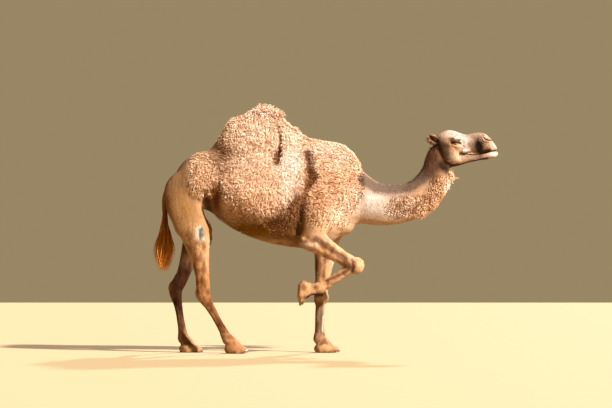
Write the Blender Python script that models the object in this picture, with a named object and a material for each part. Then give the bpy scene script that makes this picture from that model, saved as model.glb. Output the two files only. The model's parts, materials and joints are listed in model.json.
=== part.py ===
"""A life-size dromedary camel, standing on three legs with its right forefoot lifted.

Metres. +X is forwards, +Y is the camel's left, +Z is up and the floor is z = 0.
The flesh is built as overlapping tubes and ovals, fused with a voxel remesh, smoothed, thinned
and then sawn into its named parts. Ears, eyes, tail and toenails are made on their own.
"""

import math

import bmesh
import bpy
import numpy as np
from mathutils import Matrix, Vector

# Driving sizes of the animal.
FOREARM = 0.465
CANNON_FORE = 0.345
TIBIA = 0.547
FEMUR = 0.447
CANNON_HIND = 0.408
EYE_RADIUS = 0.021
EYE_CENTRE = (1.046, 0.072, 1.720)

# Mesh fineness and the clearances between neighbouring parts.
BODY_VOXEL = 0.0075
FINE_VOXEL = 0.0045
BODY_TRIANGLES = 3800
HEAD_TRIANGLES = 2200
LEG_TRIANGLES = 820
SAW_KERF = 0.0007
SEAT_GAP = 0.0006

# How each leg is posed: bone angles in degrees from straight down, positive forwards, the pastern
# also with its length, and the sideways place of each joint from the top down.
FORE_POSES = {
    "left": {"fetlock": (-0.066, 0.1125), "cannon": -1, "forearm": -7, "humerus": -24,
             "pastern": (49, 0.095), "sole": 0, "toe_out": 12,
             "sides": (0.185, 0.165, 0.115, 0.085, 0.078)},
    "right": {"fetlock": (-0.068, 0.526), "cannon": -57.5, "forearm": 59, "humerus": -43,
              "pastern": (-66, 0.125), "sole": -95, "toe_out": 0,
              "sides": (-0.185, -0.175, -0.190, -0.165, -0.155)},
}
HIND_POSES = {
    "left": {"fetlock": (-1.187, 0.1125), "cannon": 9.5, "tibia": -29, "femur": 12,
             "pastern": (46, 0.095), "sole": 0, "toe_out": 28,
             "sides": (0.100, 0.165, 0.140, 0.130, 0.130)},
    "right": {"fetlock": (-0.808, 0.1125), "cannon": 29, "tibia": -0.5, "femur": 10,
              "pastern": (52, 0.098), "sole": 0, "toe_out": 8,
              "sides": (-0.100, -0.165, -0.135, -0.125, -0.122)},
}

COAT_COLOUR = (0.55, 0.30, 0.155, 1.0)
PALE_COLOUR = (0.66, 0.45, 0.30, 1.0)
TAIL_COLOUR = (0.24, 0.11, 0.045, 1.0)
NAIL_COLOUR = (0.10, 0.075, 0.055, 1.0)
EYE_COLOUR = (0.02, 0.012, 0.008, 1.0)


def clear_scene():
    for obj in list(bpy.data.objects):
        bpy.data.objects.remove(obj)


def finish(name, colour, roughness):
    material = bpy.data.materials.new(name)
    material.use_nodes = True
    shader = material.node_tree.nodes["Principled BSDF"]
    shader.inputs["Base Color"].default_value = colour
    shader.inputs["Roughness"].default_value = roughness
    shader.inputs["Metallic"].default_value = 0.0
    return material


# ---------------------------------------------------------------- shapes

def eased(stations, per_gap=6):
    """Rows on a smooth curve through the stations, with tangents from their neighbours."""
    rows = np.array(stations, float)
    gaps = np.linalg.norm(np.diff(rows[:, :3], axis=0), axis=1)
    at = np.concatenate([[0.0], np.cumsum(gaps)])
    slope = np.gradient(rows, at, axis=0)
    fine = np.concatenate([np.linspace(a, b, per_gap, endpoint=False) for a, b in zip(at, at[1:])])
    fine = np.append(fine, at[-1])
    i = np.clip(np.searchsorted(at, fine, side="right") - 1, 0, len(gaps) - 1)
    h = gaps[i][:, None]
    t = ((fine - at[i]) / gaps[i])[:, None]
    return ((1 + 2 * t) * (1 - t) ** 2 * rows[i] + t * (1 - t) ** 2 * h * slope[i]
            + t * t * (3 - 2 * t) * rows[i + 1] + t * t * (t - 1) * h * slope[i + 1])


def tube(flesh, stations, over=2.0, under=2.0, sides=28, per_gap=6, upright=False):
    """A closed tube through stations (x, y, z, over, under, side): its reach above or in front
    of the path, its reach below or behind it, and its half-width. over and under as keywords
    are the exponents of those two halves of the section: 2 is round, less is keeled. An upright
    tube's rings are vertical slices, and others stand square to the path."""
    rows = eased(stations, per_gap)
    heading = np.gradient(rows[:, (0, 2)], axis=0)
    if upright:
        heading[:] = (1, 0)
    rings = []
    for row, (dx, dz) in zip(rows, heading):
        length = math.hypot(dx, dz)
        up = Vector((-dz, 0, dx)) / length
        centre = Vector(row[:3])
        ring = []
        for step in range(sides):
            angle = 2 * math.pi * step / sides
            across, rise = math.cos(angle), math.sin(angle)
            power, reach = (over, row[3]) if rise >= 0 else (under, row[4])
            sideways = math.copysign(abs(across) ** (2 / power), across) * max(row[5], 0.002)
            upwards = math.copysign(abs(rise) ** (2 / power), rise) * max(reach, 0.002)
            ring.append(flesh.verts.new(centre + up * upwards + Vector((0, -sideways, 0))))
        rings.append(ring)
    for first, second in zip(rings, rings[1:]):
        for k in range(sides):
            n = (k + 1) % sides
            flesh.faces.new((first[k], first[n], second[n], second[k]))
    flesh.faces.new(rings[0][::-1])
    flesh.faces.new(rings[-1])


def oval(flesh, centre, radii, pitch=0.0, yaw=0.0, roll=0.0, detail=3):
    """An ellipsoid. pitch tips its front up, yaw turns it to the camel's left, in degrees."""
    turn = (Matrix.Rotation(math.radians(yaw), 4, "Z") @ Matrix.Rotation(math.radians(-pitch), 4, "Y")
            @ Matrix.Rotation(math.radians(roll), 4, "X"))
    place = Matrix.Translation(centre) @ turn @ Matrix.Diagonal((*radii, 1.0))
    bmesh.ops.create_icosphere(flesh, subdivisions=detail, radius=1.0, matrix=place)


def both_sides(flesh, centre, radii, **turns):
    """The same oval on the left and on the right of the camel."""
    x, y, z = centre
    oval(flesh, (x, y, z), radii, **turns)
    mirrored = {name: -value if name in ("yaw", "roll") else value for name, value in turns.items()}
    oval(flesh, (x, -y, z), radii, **mirrored)


def swing(origin, angle, length):
    """The point at length from origin, angle degrees forwards of straight down."""
    a = math.radians(angle)
    return (origin[0] + length * math.sin(a), origin[1] - length * math.cos(a))


def bone_tube(flesh, top, bottom, top_side, bottom_side, rows, **shape):
    """Flesh round one bone. Each row is (share of the bone, shift forwards, depth, half-width)."""
    axis = Vector((bottom[0] - top[0], bottom[1] - top[1])).normalized()
    forward = Vector((-axis.y, axis.x))
    stations = []
    for share, shift, depth, half_width in rows:
        x = top[0] + (bottom[0] - top[0]) * share + forward.x * shift
        z = top[1] + (bottom[1] - top[1]) * share + forward.y * shift
        y = top_side + (bottom_side - top_side) * share
        stations.append((x, y, z, depth, depth, half_width))
    tube(flesh, stations, **shape)


# ---------------------------------------------------------------- flesh

def trunk(flesh):
    """Vertical slices from the buttocks to the base of the neck: x, height of the widest part,
    reach up to the back, reach down to the belly, half-width."""
    slices = [
        (-1.312, 1.280, 0.060, 0.050, 0.060),
        (-1.285, 1.285, 0.118, 0.090, 0.115),
        (-1.240, 1.300, 0.188, 0.125, 0.160),
        (-1.180, 1.312, 0.262, 0.138, 0.192),
        (-1.100, 1.320, 0.305, 0.148, 0.216),
        (-1.000, 1.330, 0.328, 0.160, 0.230),
        (-0.900, 1.330, 0.332, 0.222, 0.244),
        (-0.800, 1.325, 0.345, 0.290, 0.268),
        (-0.690, 1.310, 0.365, 0.340, 0.296),
        (-0.550, 1.295, 0.400, 0.378, 0.312),
        (-0.410, 1.285, 0.420, 0.404, 0.316),
        (-0.270, 1.280, 0.445, 0.422, 0.300),
        (-0.130, 1.280, 0.478, 0.424, 0.266),
        (0.000, 1.285, 0.450, 0.400, 0.228),
        (0.100, 1.300, 0.420, 0.355, 0.205),
        (0.180, 1.310, 0.368, 0.295, 0.178),
        (0.240, 1.300, 0.305, 0.250, 0.148),
        (0.280, 1.290, 0.220, 0.180, 0.110),
        (0.310, 1.280, 0.100, 0.100, 0.060),
    ]
    tube(flesh, [(x, 0, z, up, down, side) for x, z, up, down, side in slices], over=1.95, under=1.9,
         upright=True)
    # Breast pad, brisket, loins and the points of the hips.
    oval(flesh, (-0.140, 0, 0.905), (0.105, 0.075, 0.049))
    oval(flesh, (0.115, 0, 1.065), (0.115, 0.115, 0.115), pitch=30)
    both_sides(flesh, (-0.985, 0.160, 1.465), (0.095, 0.062, 0.085))
    both_sides(flesh, (-1.215, 0.095, 1.335), (0.075, 0.055, 0.110), pitch=-15)


def hump(flesh):
    """x, top of the hump, half-width of its foot."""
    base = 1.50
    slices = [
        (-1.020, 1.625, 0.050),
        (-0.935, 1.715, 0.095),
        (-0.865, 1.825, 0.130),
        (-0.815, 1.915, 0.150),
        (-0.765, 1.947, 0.163),
        (-0.700, 1.958, 0.175),
        (-0.630, 1.995, 0.185),
        (-0.549, 2.013, 0.190),
        (-0.440, 1.998, 0.190),
        (-0.350, 1.945, 0.180),
        (-0.265, 1.865, 0.160),
        (-0.190, 1.785, 0.135),
        (-0.080, 1.735, 0.100),
    ]
    tube(flesh, [(x, 0, base, top - base, 0.20, side) for x, top, side in slices], over=1.75)


def neck(flesh):
    """Along the neck: x, z, reach to the nape, reach to the throat, half-width."""
    path = [
        (-0.100, 1.370, 0.300, 0.300, 0.140),
        (0.080, 1.340, 0.330, 0.320, 0.160),
        (0.185, 1.310, 0.232, 0.285, 0.150),
        (0.290, 1.272, 0.182, 0.235, 0.132),
        (0.420, 1.228, 0.170, 0.197, 0.108),
        (0.560, 1.220, 0.170, 0.176, 0.094),
        (0.690, 1.255, 0.154, 0.166, 0.088),
        (0.810, 1.345, 0.134, 0.152, 0.083),
        (0.880, 1.460, 0.122, 0.138, 0.080),
        (0.918, 1.565, 0.124, 0.086, 0.077),
        (0.945, 1.665, 0.105, 0.080, 0.070),
    ]
    tube(flesh, [(x, 0, z, nape, throat, side) for x, z, nape, throat, side in path],
         over=1.9, under=1.75)
    # The tip of the beard at the throat.
    beard = [(0.920, 1.330, 0.030), (0.975, 1.385, 0.036), (1.020, 1.418, 0.028), (1.050, 1.436, 0.017),
             (1.070, 1.449, 0.005)]
    tube(flesh, [(x, 0, z, size, size, size * 0.8) for x, z, size in beard])


def head(flesh):
    """Vertical slices of the skull, face and upper lip: x, widest height, up, down, half-width."""
    face = [
        (0.870, 1.700, 0.050, 0.060, 0.040),
        (0.900, 1.705, 0.083, 0.110, 0.066),
        (0.950, 1.710, 0.108, 0.130, 0.080),
        (1.000, 1.712, 0.117, 0.135, 0.083),
        (1.050, 1.710, 0.110, 0.120, 0.079),
        (1.100, 1.705, 0.097, 0.095, 0.068),
        (1.150, 1.702, 0.089, 0.070, 0.056),
        (1.200, 1.700, 0.105, 0.064, 0.050),
        (1.250, 1.700, 0.109, 0.064, 0.049),
        (1.300, 1.700, 0.099, 0.058, 0.052),
        (1.340, 1.698, 0.062, 0.050, 0.051),
        (1.372, 1.690, 0.028, 0.040, 0.042),
        (1.394, 1.678, 0.010, 0.018, 0.018),
    ]
    tube(flesh, [(x, 0, z, up, down, side) for x, z, up, down, side in face], over=2.1, under=2.3,
         upright=True)
    jaw = [
        (0.950, 1.610, 0.050, 0.060, 0.040),
        (1.000, 1.605, 0.060, 0.090, 0.058),
        (1.050, 1.605, 0.060, 0.080, 0.057),
        (1.100, 1.605, 0.050, 0.066, 0.050),
        (1.150, 1.605, 0.040, 0.050, 0.043),
        (1.200, 1.605, 0.032, 0.040, 0.038),
        (1.250, 1.608, 0.026, 0.031, 0.035),
        (1.300, 1.612, 0.026, 0.030, 0.036),
        (1.340, 1.618, 0.028, 0.028, 0.037),
        (1.380, 1.628, 0.024, 0.024, 0.033),
        (1.408, 1.634, 0.009, 0.009, 0.014),
    ]
    tube(flesh, [(x, 0, z, up, down, side) for x, z, up, down, side in jaw])
    # Brows, temples, cheeks, corner of the mouth, nostril pads and the split upper lip.
    both_sides(flesh, (1.045, 0.064, 1.752), (0.066, 0.031, 0.027), yaw=-10)
    both_sides(flesh, (0.985, 0.056, 1.640), (0.080, 0.032, 0.095), pitch=-20)
    both_sides(flesh, (1.060, 0.056, 1.688), (0.100, 0.029, 0.022), yaw=-14, pitch=-8)
    both_sides(flesh, (1.130, 0.045, 1.658), (0.045, 0.020, 0.024))
    both_sides(flesh, (1.280, 0.036, 1.735), (0.052, 0.026, 0.045), pitch=-20)
    both_sides(flesh, (1.325, 0.027, 1.690), (0.046, 0.030, 0.042), pitch=-25)


FORE_ROWS = {
    "forearm": [(-0.12, 0.005, 0.080, 0.060), (0.08, 0.0, 0.102, 0.078), (0.28, 0.0, 0.092, 0.070),
                (0.50, 0.0, 0.076, 0.058), (0.72, 0.0, 0.063, 0.051), (0.90, 0.0, 0.062, 0.054),
                (1.02, 0.0, 0.050, 0.046)],
    "cannon": [(-0.06, 0.0, 0.050, 0.048), (0.06, 0.0, 0.056, 0.052), (0.20, 0.0, 0.044, 0.042),
               (0.40, 0.0, 0.043, 0.036), (0.65, 0.0, 0.042, 0.035), (0.85, 0.0, 0.045, 0.041),
               (1.00, -0.002, 0.053, 0.050)],
}
HIND_ROWS = {
    "femur": [(-0.06, -0.070, 0.080, 0.040), (0.10, -0.100, 0.135, 0.066), (0.30, -0.128, 0.158, 0.084),
              (0.52, -0.138, 0.148, 0.084), (0.75, -0.122, 0.137, 0.080), (0.98, -0.102, 0.128, 0.074),
              (1.10, -0.090, 0.090, 0.050)],
    "tibia": [(-0.16, -0.100, 0.070, 0.045), (-0.07, -0.096, 0.112, 0.064), (0.05, -0.085, 0.124, 0.072), (0.20, -0.060, 0.110, 0.068),
              (0.38, -0.042, 0.089, 0.058), (0.57, -0.024, 0.070, 0.048), (0.74, -0.010, 0.060, 0.042),
              (0.90, -0.004, 0.062, 0.046), (1.02, 0.0, 0.052, 0.044)],
    "cannon": [(-0.06, -0.004, 0.054, 0.044), (0.06, -0.004, 0.058, 0.047), (0.18, -0.002, 0.047, 0.040),
               (0.35, 0.0, 0.038, 0.033), (0.60, 0.0, 0.035, 0.030), (0.84, 0.0, 0.040, 0.037),
               (1.00, -0.002, 0.049, 0.047)],
}


def foot(flesh, fetlock, pose, size):
    """The pastern and the broad two-toed pad. size scales the pad: a hind foot is smaller.
    It returns where the foot is: the frame of its last joint, with +X towards the toes."""
    fetlock_side, toe_side = pose["sides"][3:]
    digit = swing(fetlock, *pose["pastern"])
    pastern = [(-0.10, 0.0, 0.050, 0.048), (0.30, 0.0, 0.047, 0.046), (0.70, 0.0, 0.045, 0.050),
               (1.00, 0.0, 0.038, 0.052)]
    bone_tube(flesh, fetlock, digit, fetlock_side, toe_side, pastern)
    outwards = math.copysign(pose["toe_out"], toe_side)
    place = (Matrix.Translation((digit[0], toe_side, digit[1]))
             @ Matrix.Rotation(math.radians(-pose["sole"]), 4, "Y")
             @ Matrix.Rotation(math.radians(outwards), 4, "Z"))
    pad = [(-0.112, -0.036, 0.012, 0.018, 0.030), (-0.098, -0.028, 0.034, 0.034, 0.055),
           (-0.062, -0.022, 0.056, 0.045, 0.076), (-0.020, -0.020, 0.060, 0.047, 0.084),
           (0.018, -0.024, 0.047, 0.043, 0.080), (0.048, -0.032, 0.024, 0.034, 0.060),
           (0.062, -0.042, 0.010, 0.024, 0.030)]
    built = bmesh.new()
    tube(built, [(x * size, 0, z, up, down, side * size) for x, z, up, down, side in pad], under=3.5)
    for side in (-1, 1):
        oval(built, (0.036 * size, side * 0.037 * size, -0.022), (0.048, 0.034, 0.031), yaw=side * 6)
    built.transform(place)
    merge(flesh, built)
    return place


def merge(flesh, other):
    mesh = bpy.data.meshes.new("pieces")
    other.to_mesh(mesh)
    other.free()
    flesh.from_mesh(mesh)
    bpy.data.meshes.remove(mesh)


def foreleg(flesh, pose):
    shoulder_side, elbow_side, knee_side, fetlock_side, _ = pose["sides"]
    fetlock = pose["fetlock"]
    knee = swing(fetlock, pose["cannon"] + 180, CANNON_FORE)
    elbow = swing(knee, pose["forearm"] + 180, FOREARM)
    outwards = math.copysign(1, elbow_side)
    bone_tube(flesh, elbow, knee, elbow_side, knee_side, FORE_ROWS["forearm"])
    bone_tube(flesh, knee, fetlock, knee_side, fetlock_side, FORE_ROWS["cannon"])
    # Knee cap with its callus, the point of the elbow, the fetlock knuckle.
    bend = (pose["forearm"] + pose["cannon"]) / 2
    cap = swing(knee, bend + 90, 0.012)
    oval(flesh, (cap[0], knee_side, cap[1]), (0.066, 0.060, 0.074), pitch=bend)
    oval(flesh, (fetlock[0], fetlock_side, fetlock[1]), (0.054, 0.052, 0.050), pitch=pose["cannon"])
    point = swing(elbow, pose["humerus"] + 10, 0.045)
    oval(flesh, (point[0], elbow_side, point[1] + 0.015), (0.058, 0.055, 0.070), pitch=20)
    # Shoulder blade and upper arm, lying on the ribs.
    blade_foot = swing(elbow, pose["humerus"] + 180, 0.34)
    upper = [(-0.030, outwards * 0.110, 1.600, 0.080, 0.110, 0.045),
             (0.000, outwards * 0.150, 1.480, 0.125, 0.150, 0.070),
             (0.020, outwards * 0.170, 1.340, 0.150, 0.175, 0.086),
             ((blade_foot[0] + elbow[0]) / 2 + 0.03, outwards * 0.175, 1.190, 0.150, 0.165, 0.094),
             ((blade_foot[0] + 2 * elbow[0]) / 3 + 0.01, elbow_side, 1.060, 0.125, 0.130, 0.088),
             (elbow[0], elbow_side, elbow[1], 0.095, 0.095, 0.072)]
    tube(flesh, upper)
    return foot(flesh, fetlock, pose, 1.0)


def hindleg(flesh, pose):
    hip_side, stifle_side, hock_side, fetlock_side, _ = pose["sides"]
    fetlock = pose["fetlock"]
    hock = swing(fetlock, pose["cannon"] + 180, CANNON_HIND)
    stifle = swing(hock, pose["tibia"] + 180, TIBIA)
    hip = swing(stifle, pose["femur"] + 180, FEMUR)
    bone_tube(flesh, hip, stifle, hip_side, stifle_side, HIND_ROWS["femur"])
    bone_tube(flesh, stifle, hock, stifle_side, hock_side, HIND_ROWS["tibia"])
    bone_tube(flesh, hock, fetlock, hock_side, fetlock_side, HIND_ROWS["cannon"])
    oval(flesh, (stifle[0] - 0.012, stifle_side, stifle[1] - 0.050), (0.050, 0.052, 0.085))
    heel = swing(hock, pose["tibia"] - 115, 0.050)
    oval(flesh, (heel[0], hock_side, heel[1]), (0.030, 0.030, 0.055), pitch=pose["tibia"])
    oval(flesh, (fetlock[0], fetlock_side, fetlock[1]), (0.050, 0.048, 0.048), pitch=pose["cannon"])
    return foot(flesh, fetlock, pose, 0.92)


# ---------------------------------------------------------------- objects

def make(name, shape, material):
    """An object from a bmesh, with its normals outwards."""
    bmesh.ops.recalc_face_normals(shape, faces=shape.faces)
    mesh = bpy.data.meshes.new(name)
    shape.to_mesh(mesh)
    shape.free()
    obj = bpy.data.objects.new(name, mesh)
    bpy.context.scene.collection.objects.link(obj)
    mesh.materials.append(material)
    return obj


def applied(obj):
    """Turns the object's modifiers into its mesh."""
    bpy.context.view_layer.update()
    graph = bpy.context.evaluated_depsgraph_get()
    mesh = bpy.data.meshes.new_from_object(obj.evaluated_get(graph))
    obj.modifiers.clear()
    obj.data = mesh
    return obj


def fused(obj, voxel, rounds, triangles, broad_rounds=0):
    """One closed skin round overlapping shapes, smoothed and thinned to about this many triangles.
    The trunk's big masses take broad_rounds more smoothing than the limbs."""
    remesh = obj.modifiers.new("Fuse", "REMESH")
    remesh.mode = "VOXEL"
    remesh.voxel_size = voxel
    smooth = obj.modifiers.new("Soften", "SMOOTH")
    smooth.factor = 0.5
    smooth.iterations = rounds
    applied(obj)
    if broad_rounds:
        broad = obj.vertex_groups.new(name="Broad")
        for vertex in obj.data.vertices:
            x, _, z = vertex.co
            share = min(1.0, max(0.0, (z - 0.93) / 0.15)) * min(1.0, max(0.0, (0.95 - x) / 0.25))
            broad.add([vertex.index], share, "REPLACE")
        blend = obj.modifiers.new("Blend", "SMOOTH")
        blend.factor = 0.5
        blend.iterations = broad_rounds
        blend.vertex_group = "Broad"
        applied(obj)
    faces = sum(len(p.vertices) - 2 for p in obj.data.polygons)
    thin = obj.modifiers.new("Thin", "DECIMATE")
    thin.ratio = min(1.0, triangles / faces)
    return applied(obj)


def boolean(obj, cutter, operation):
    """Cuts or keeps the part of obj inside the cutter, which is then thrown away."""
    cut = obj.modifiers.new("Cut", "BOOLEAN")
    cut.operation = operation
    cut.solver = "EXACT"
    cut.object = cutter
    applied(obj)
    bpy.data.objects.remove(cutter)
    return obj


def hull(points, grow=0.0):
    """A convex cutter through these points, grown from its middle."""
    shape = bmesh.new()
    middle = sum((Vector(p) for p in points), Vector()) / len(points)
    for point in points:
        way = Vector(point) - middle
        shape.verts.new(Vector(point) + way.normalized() * grow)
    bmesh.ops.convex_hull(shape, input=shape.verts)
    return make("cutter", shape, None)


def copy_of(obj, name):
    twin = obj.copy()
    twin.data = obj.data.copy()
    twin.name = name
    bpy.context.scene.collection.objects.link(twin)
    return twin


def on_floor(body):
    """Cuts the soles flat at the floor."""
    room = [(x, y, z) for x in (-2, 2) for y in (-1, 1) for z in (0, 3)]
    return boolean(body, hull(room), "INTERSECT")


def carve(body, name, corners, source=None):
    """Saws the part of the body inside these corners off as its own object, with a thin kerf.
    A finer source, where there is one, gives the part its shape."""
    piece = boolean(source or copy_of(body, name), hull(corners), "INTERSECT")
    piece.name = name
    boolean(body, hull(corners, SAW_KERF), "DIFFERENCE")
    return piece


def grown(obj):
    """A copy swollen by the seat gap, for cutting a neighbour clear of obj."""
    cutter = copy_of(obj, "cutter")
    swell = cutter.modifiers.new("Swell", "DISPLACE")
    swell.strength = SEAT_GAP
    swell.mid_level = 0.0
    return applied(cutter)


def seated(piece, host):
    """Trims the piece clear of its host, leaving the seat gap."""
    return boolean(piece, grown(host), "DIFFERENCE")


def single(name, centre, radii, coat, place=None, **turns):
    """One oval as an object of its own."""
    shape = bmesh.new()
    oval(shape, centre, radii, detail=2, **turns)
    if place:
        shape.transform(place)
    return make(name, shape, coat)


def sunk(name, host, centre, radii, material, place=None, **turns):
    """An oval set into its host, which is first hollowed to leave the seat gap all round it."""
    room = [radius + SEAT_GAP for radius in radii]
    boolean(host, single("cutter", centre, room, material, place, **turns), "DIFFERENCE")
    return single(name, centre, radii, material, place, **turns)


def ear(name, side, head, material):
    """A short rounded ear, laid back, its hollow facing outwards and a little back."""
    along = Vector((-0.76, side * 0.33, 0.56)).normalized()
    facing = Vector((-0.25, side * 0.90, -0.30))
    facing = (facing - along * facing.dot(along)).normalized()
    frame = Matrix((facing.cross(along), facing, along)).transposed().to_4x4()
    place = Matrix.Translation((0.873, side * 0.090, 1.745)) @ frame
    cup = single(name, (0, 0, 0), (0.037, 0.022, 0.064), material, place)
    boolean(cup, single("cutter", (0, 0.016, 0.002), (0.029, 0.022, 0.054), material, place), "DIFFERENCE")
    return seated(cup, head)


def tail(body, dock_material, hair_material):
    """The dock, seated on the rump, and the brush of long hair below it."""
    dock = bmesh.new()
    tube(dock, [(-1.255, 0, 1.355, 0.028, 0.036, 0.030), (-1.305, 0, 1.330, 0.034, 0.036, 0.034),
                (-1.334, 0, 1.255, 0.030, 0.028, 0.032), (-1.334, 0, 1.150, 0.027, 0.026, 0.028),
                (-1.332, 0, 1.060, 0.032, 0.032, 0.030), (-1.332, 0, 1.020, 0.038, 0.038, 0.034),
                (-1.332, 0, 1.000, 0.040, 0.040, 0.035)], sides=14, per_gap=2)
    brush = bmesh.new()
    tube(brush, [(-1.332, 0, 0.998, 0.040, 0.040, 0.035), (-1.332, 0, 0.970, 0.048, 0.046, 0.040),
                 (-1.334, 0, 0.870, 0.068, 0.076, 0.050), (-1.334, 0, 0.790, 0.060, 0.066, 0.044),
                 (-1.342, 0, 0.715, 0.036, 0.040, 0.030), (-1.346, 0, 0.665, 0.016, 0.018, 0.016),
                 (-1.346, 0, 0.640, 0.004, 0.004, 0.004)], sides=14, per_gap=3)
    make("tail_tuft", brush, hair_material)
    return seated(make("tail", dock, dock_material), body)


# ---------------------------------------------------------------- parting

def block(outline, low_side, high_side):
    """Corners of a cutting block: a convex outline of (x, z) points, between two sides."""
    return [(x, y, z) for x, z in outline for y in (low_side, high_side)]


HEAD_BLOCK = [(0.685, 1.893), (0.990, 1.479), (1.600, 1.490), (1.600, 2.100), (0.685, 2.100)]
NECK_BLOCK = [(0.180, 1.850), (0.290, 0.980), (0.700, 0.850), (1.300, 1.200), (1.300, 1.850)]
HUMP_BLOCK = [(-1.000, 1.700), (-0.930, 1.590), (-0.200, 1.665), (-0.110, 1.850), (-0.110, 2.300),
              (-1.000, 2.300)]
HIND_BLOCK = [(-1.600, 1.130), (-1.000, 1.120), (-0.905, 1.050), (-0.550, 0.550), (-0.550, -0.200),
              (-1.600, -0.200)]
FORE_BLOCKS = {
    "left": [(-0.112, 0.985), (0.160, 0.985), (0.300, 0.500), (0.300, -0.200), (-0.260, -0.200)],
    "right": [(-0.236, 0.985), (0.110, 0.985), (0.500, 0.800), (0.500, 0.300), (-0.236, 0.300)],
}
FOOT_BLOCKS = {
    "foreleft": [(-0.300, 0.135), (0.300, 0.135), (0.300, -0.100), (-0.300, -0.100)],
    "foreright": [(-0.098, 0.650), (-0.098, 0.350), (-0.400, 0.350), (-0.400, 0.650)],
    "hindleft": [(-1.500, 0.135), (-0.960, 0.135), (-0.960, -0.100), (-1.500, -0.100)],
    "hindright": [(-0.960, 0.135), (-0.500, 0.135), (-0.500, -0.100), (-0.960, -0.100)],
}
NAMES = {"foreleft": "forefoot_left", "foreright": "forefoot_right",
         "hindleft": "hindfoot_left", "hindright": "hindfoot_right"}


def centre_on_floor():
    """Puts the origin on the floor, under the middle of the whole animal's box."""
    bpy.context.view_layer.update()
    corners = np.array([v.co for obj in bpy.data.objects for v in obj.data.vertices])
    middle = (corners.min(0) + corners.max(0)) / 2
    for obj in bpy.data.objects:
        obj.data.transform(Matrix.Translation((-middle[0], -middle[1], 0)))


def legs(flesh, wanted=None):
    """Adds the flesh of every leg, or of the one wanted, and returns where each foot is."""
    feet = {}
    for pair, poses, build in (("fore", FORE_POSES, foreleg), ("hind", HIND_POSES, hindleg)):
        for side, pose in poses.items():
            if wanted in (None, pair + side):
                feet[pair + side] = build(flesh, pose)
    return feet


def whole_body(coat):
    flesh = bmesh.new()
    trunk(flesh)
    hump(flesh)
    neck(flesh)
    head(flesh)
    feet = legs(flesh)
    body = fused(make("trunk", flesh, coat), BODY_VOXEL, 7, BODY_TRIANGLES, broad_rounds=50)
    return on_floor(body), feet


def fine_head(coat):
    flesh = bmesh.new()
    neck(flesh)
    head(flesh)
    return fused(make("head", flesh, coat), FINE_VOXEL, 8, HEAD_TRIANGLES)


def fine_leg(which, coat):
    flesh = bmesh.new()
    legs(flesh, which)
    return on_floor(fused(make("leg", flesh, coat), FINE_VOXEL, 5, LEG_TRIANGLES))


def main():
    clear_scene()
    coat = finish("coat", COAT_COLOUR, 0.9)
    hair = finish("tail_hair", TAIL_COLOUR, 0.8)
    horn = finish("toenail", NAIL_COLOUR, 0.5)
    wet = finish("eye", EYE_COLOUR, 0.1)

    body, feet = whole_body(coat)
    for which, place in feet.items():
        inner, outer = (-0.03, 0.4) if which.endswith("left") else (-0.4, 0.03)
        foot_part = carve(body, NAMES[which], block(FOOT_BLOCKS[which], inner, outer), fine_leg(which, coat))
        size = 1.0 if which.startswith("fore") else 0.92
        for inside, toe in ((1, "inner"), (-1, "outer")):
            across = -inside if which.endswith("left") else inside
            centre = (0.073 * size, across * 0.038 * size, -0.030)
            sunk(f"{NAMES[which]}_nail_{toe}", foot_part, centre, (0.021, 0.016, 0.013), horn, place,
                 pitch=-25, yaw=across * 8)
    for side, (low, high) in {"left": (0.02, 0.5), "right": (-0.5, -0.02)}.items():
        carve(body, f"hindleg_{side}", block(HIND_BLOCK, low, high))
    carve(body, "foreleg_left", block(FORE_BLOCKS["left"], 0.095, 0.5))
    carve(body, "foreleg_right", block(FORE_BLOCKS["right"], -0.5, -0.105))
    head_part = carve(body, "head", block(HEAD_BLOCK, -0.5, 0.5), fine_head(coat))
    carve(body, "neck", block(NECK_BLOCK, -0.5, 0.5))
    carve(body, "hump", block(HUMP_BLOCK, -0.5, 0.5))
    for side, name in ((1, "left"), (-1, "right")):
        x, y, z = EYE_CENTRE
        sunk(f"eye_{name}", head_part, (x, side * y, z), (EYE_RADIUS,) * 3, wet)
    for side, name in ((1, "left"), (-1, "right")):
        ear(f"ear_{name}", side, head_part, coat)
    tail(body, coat, hair)
    centre_on_floor()


main()
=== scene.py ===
# %% [markdown]
# # A dromedary camel, life size
#
# A young one-humped camel walks with its right forefoot lifted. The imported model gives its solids: trunk,
# hump, neck, head, legs, feet, ears, eyes, nails and tail. They are closed and faceted, so they can't carry
# folds, eyelids or wool. Here one smooth skin takes the place of all the flesh, and tens of thousands of
# small mesh tufts grow from it. Everything is placed from the solids, in metres, with X towards the nose
# and Z up.

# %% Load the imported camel
import json
import math

import bpy
import numpy as np
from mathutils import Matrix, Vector
from mathutils.bvhtree import BVHTree
from mathutils.kdtree import KDTree

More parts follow.
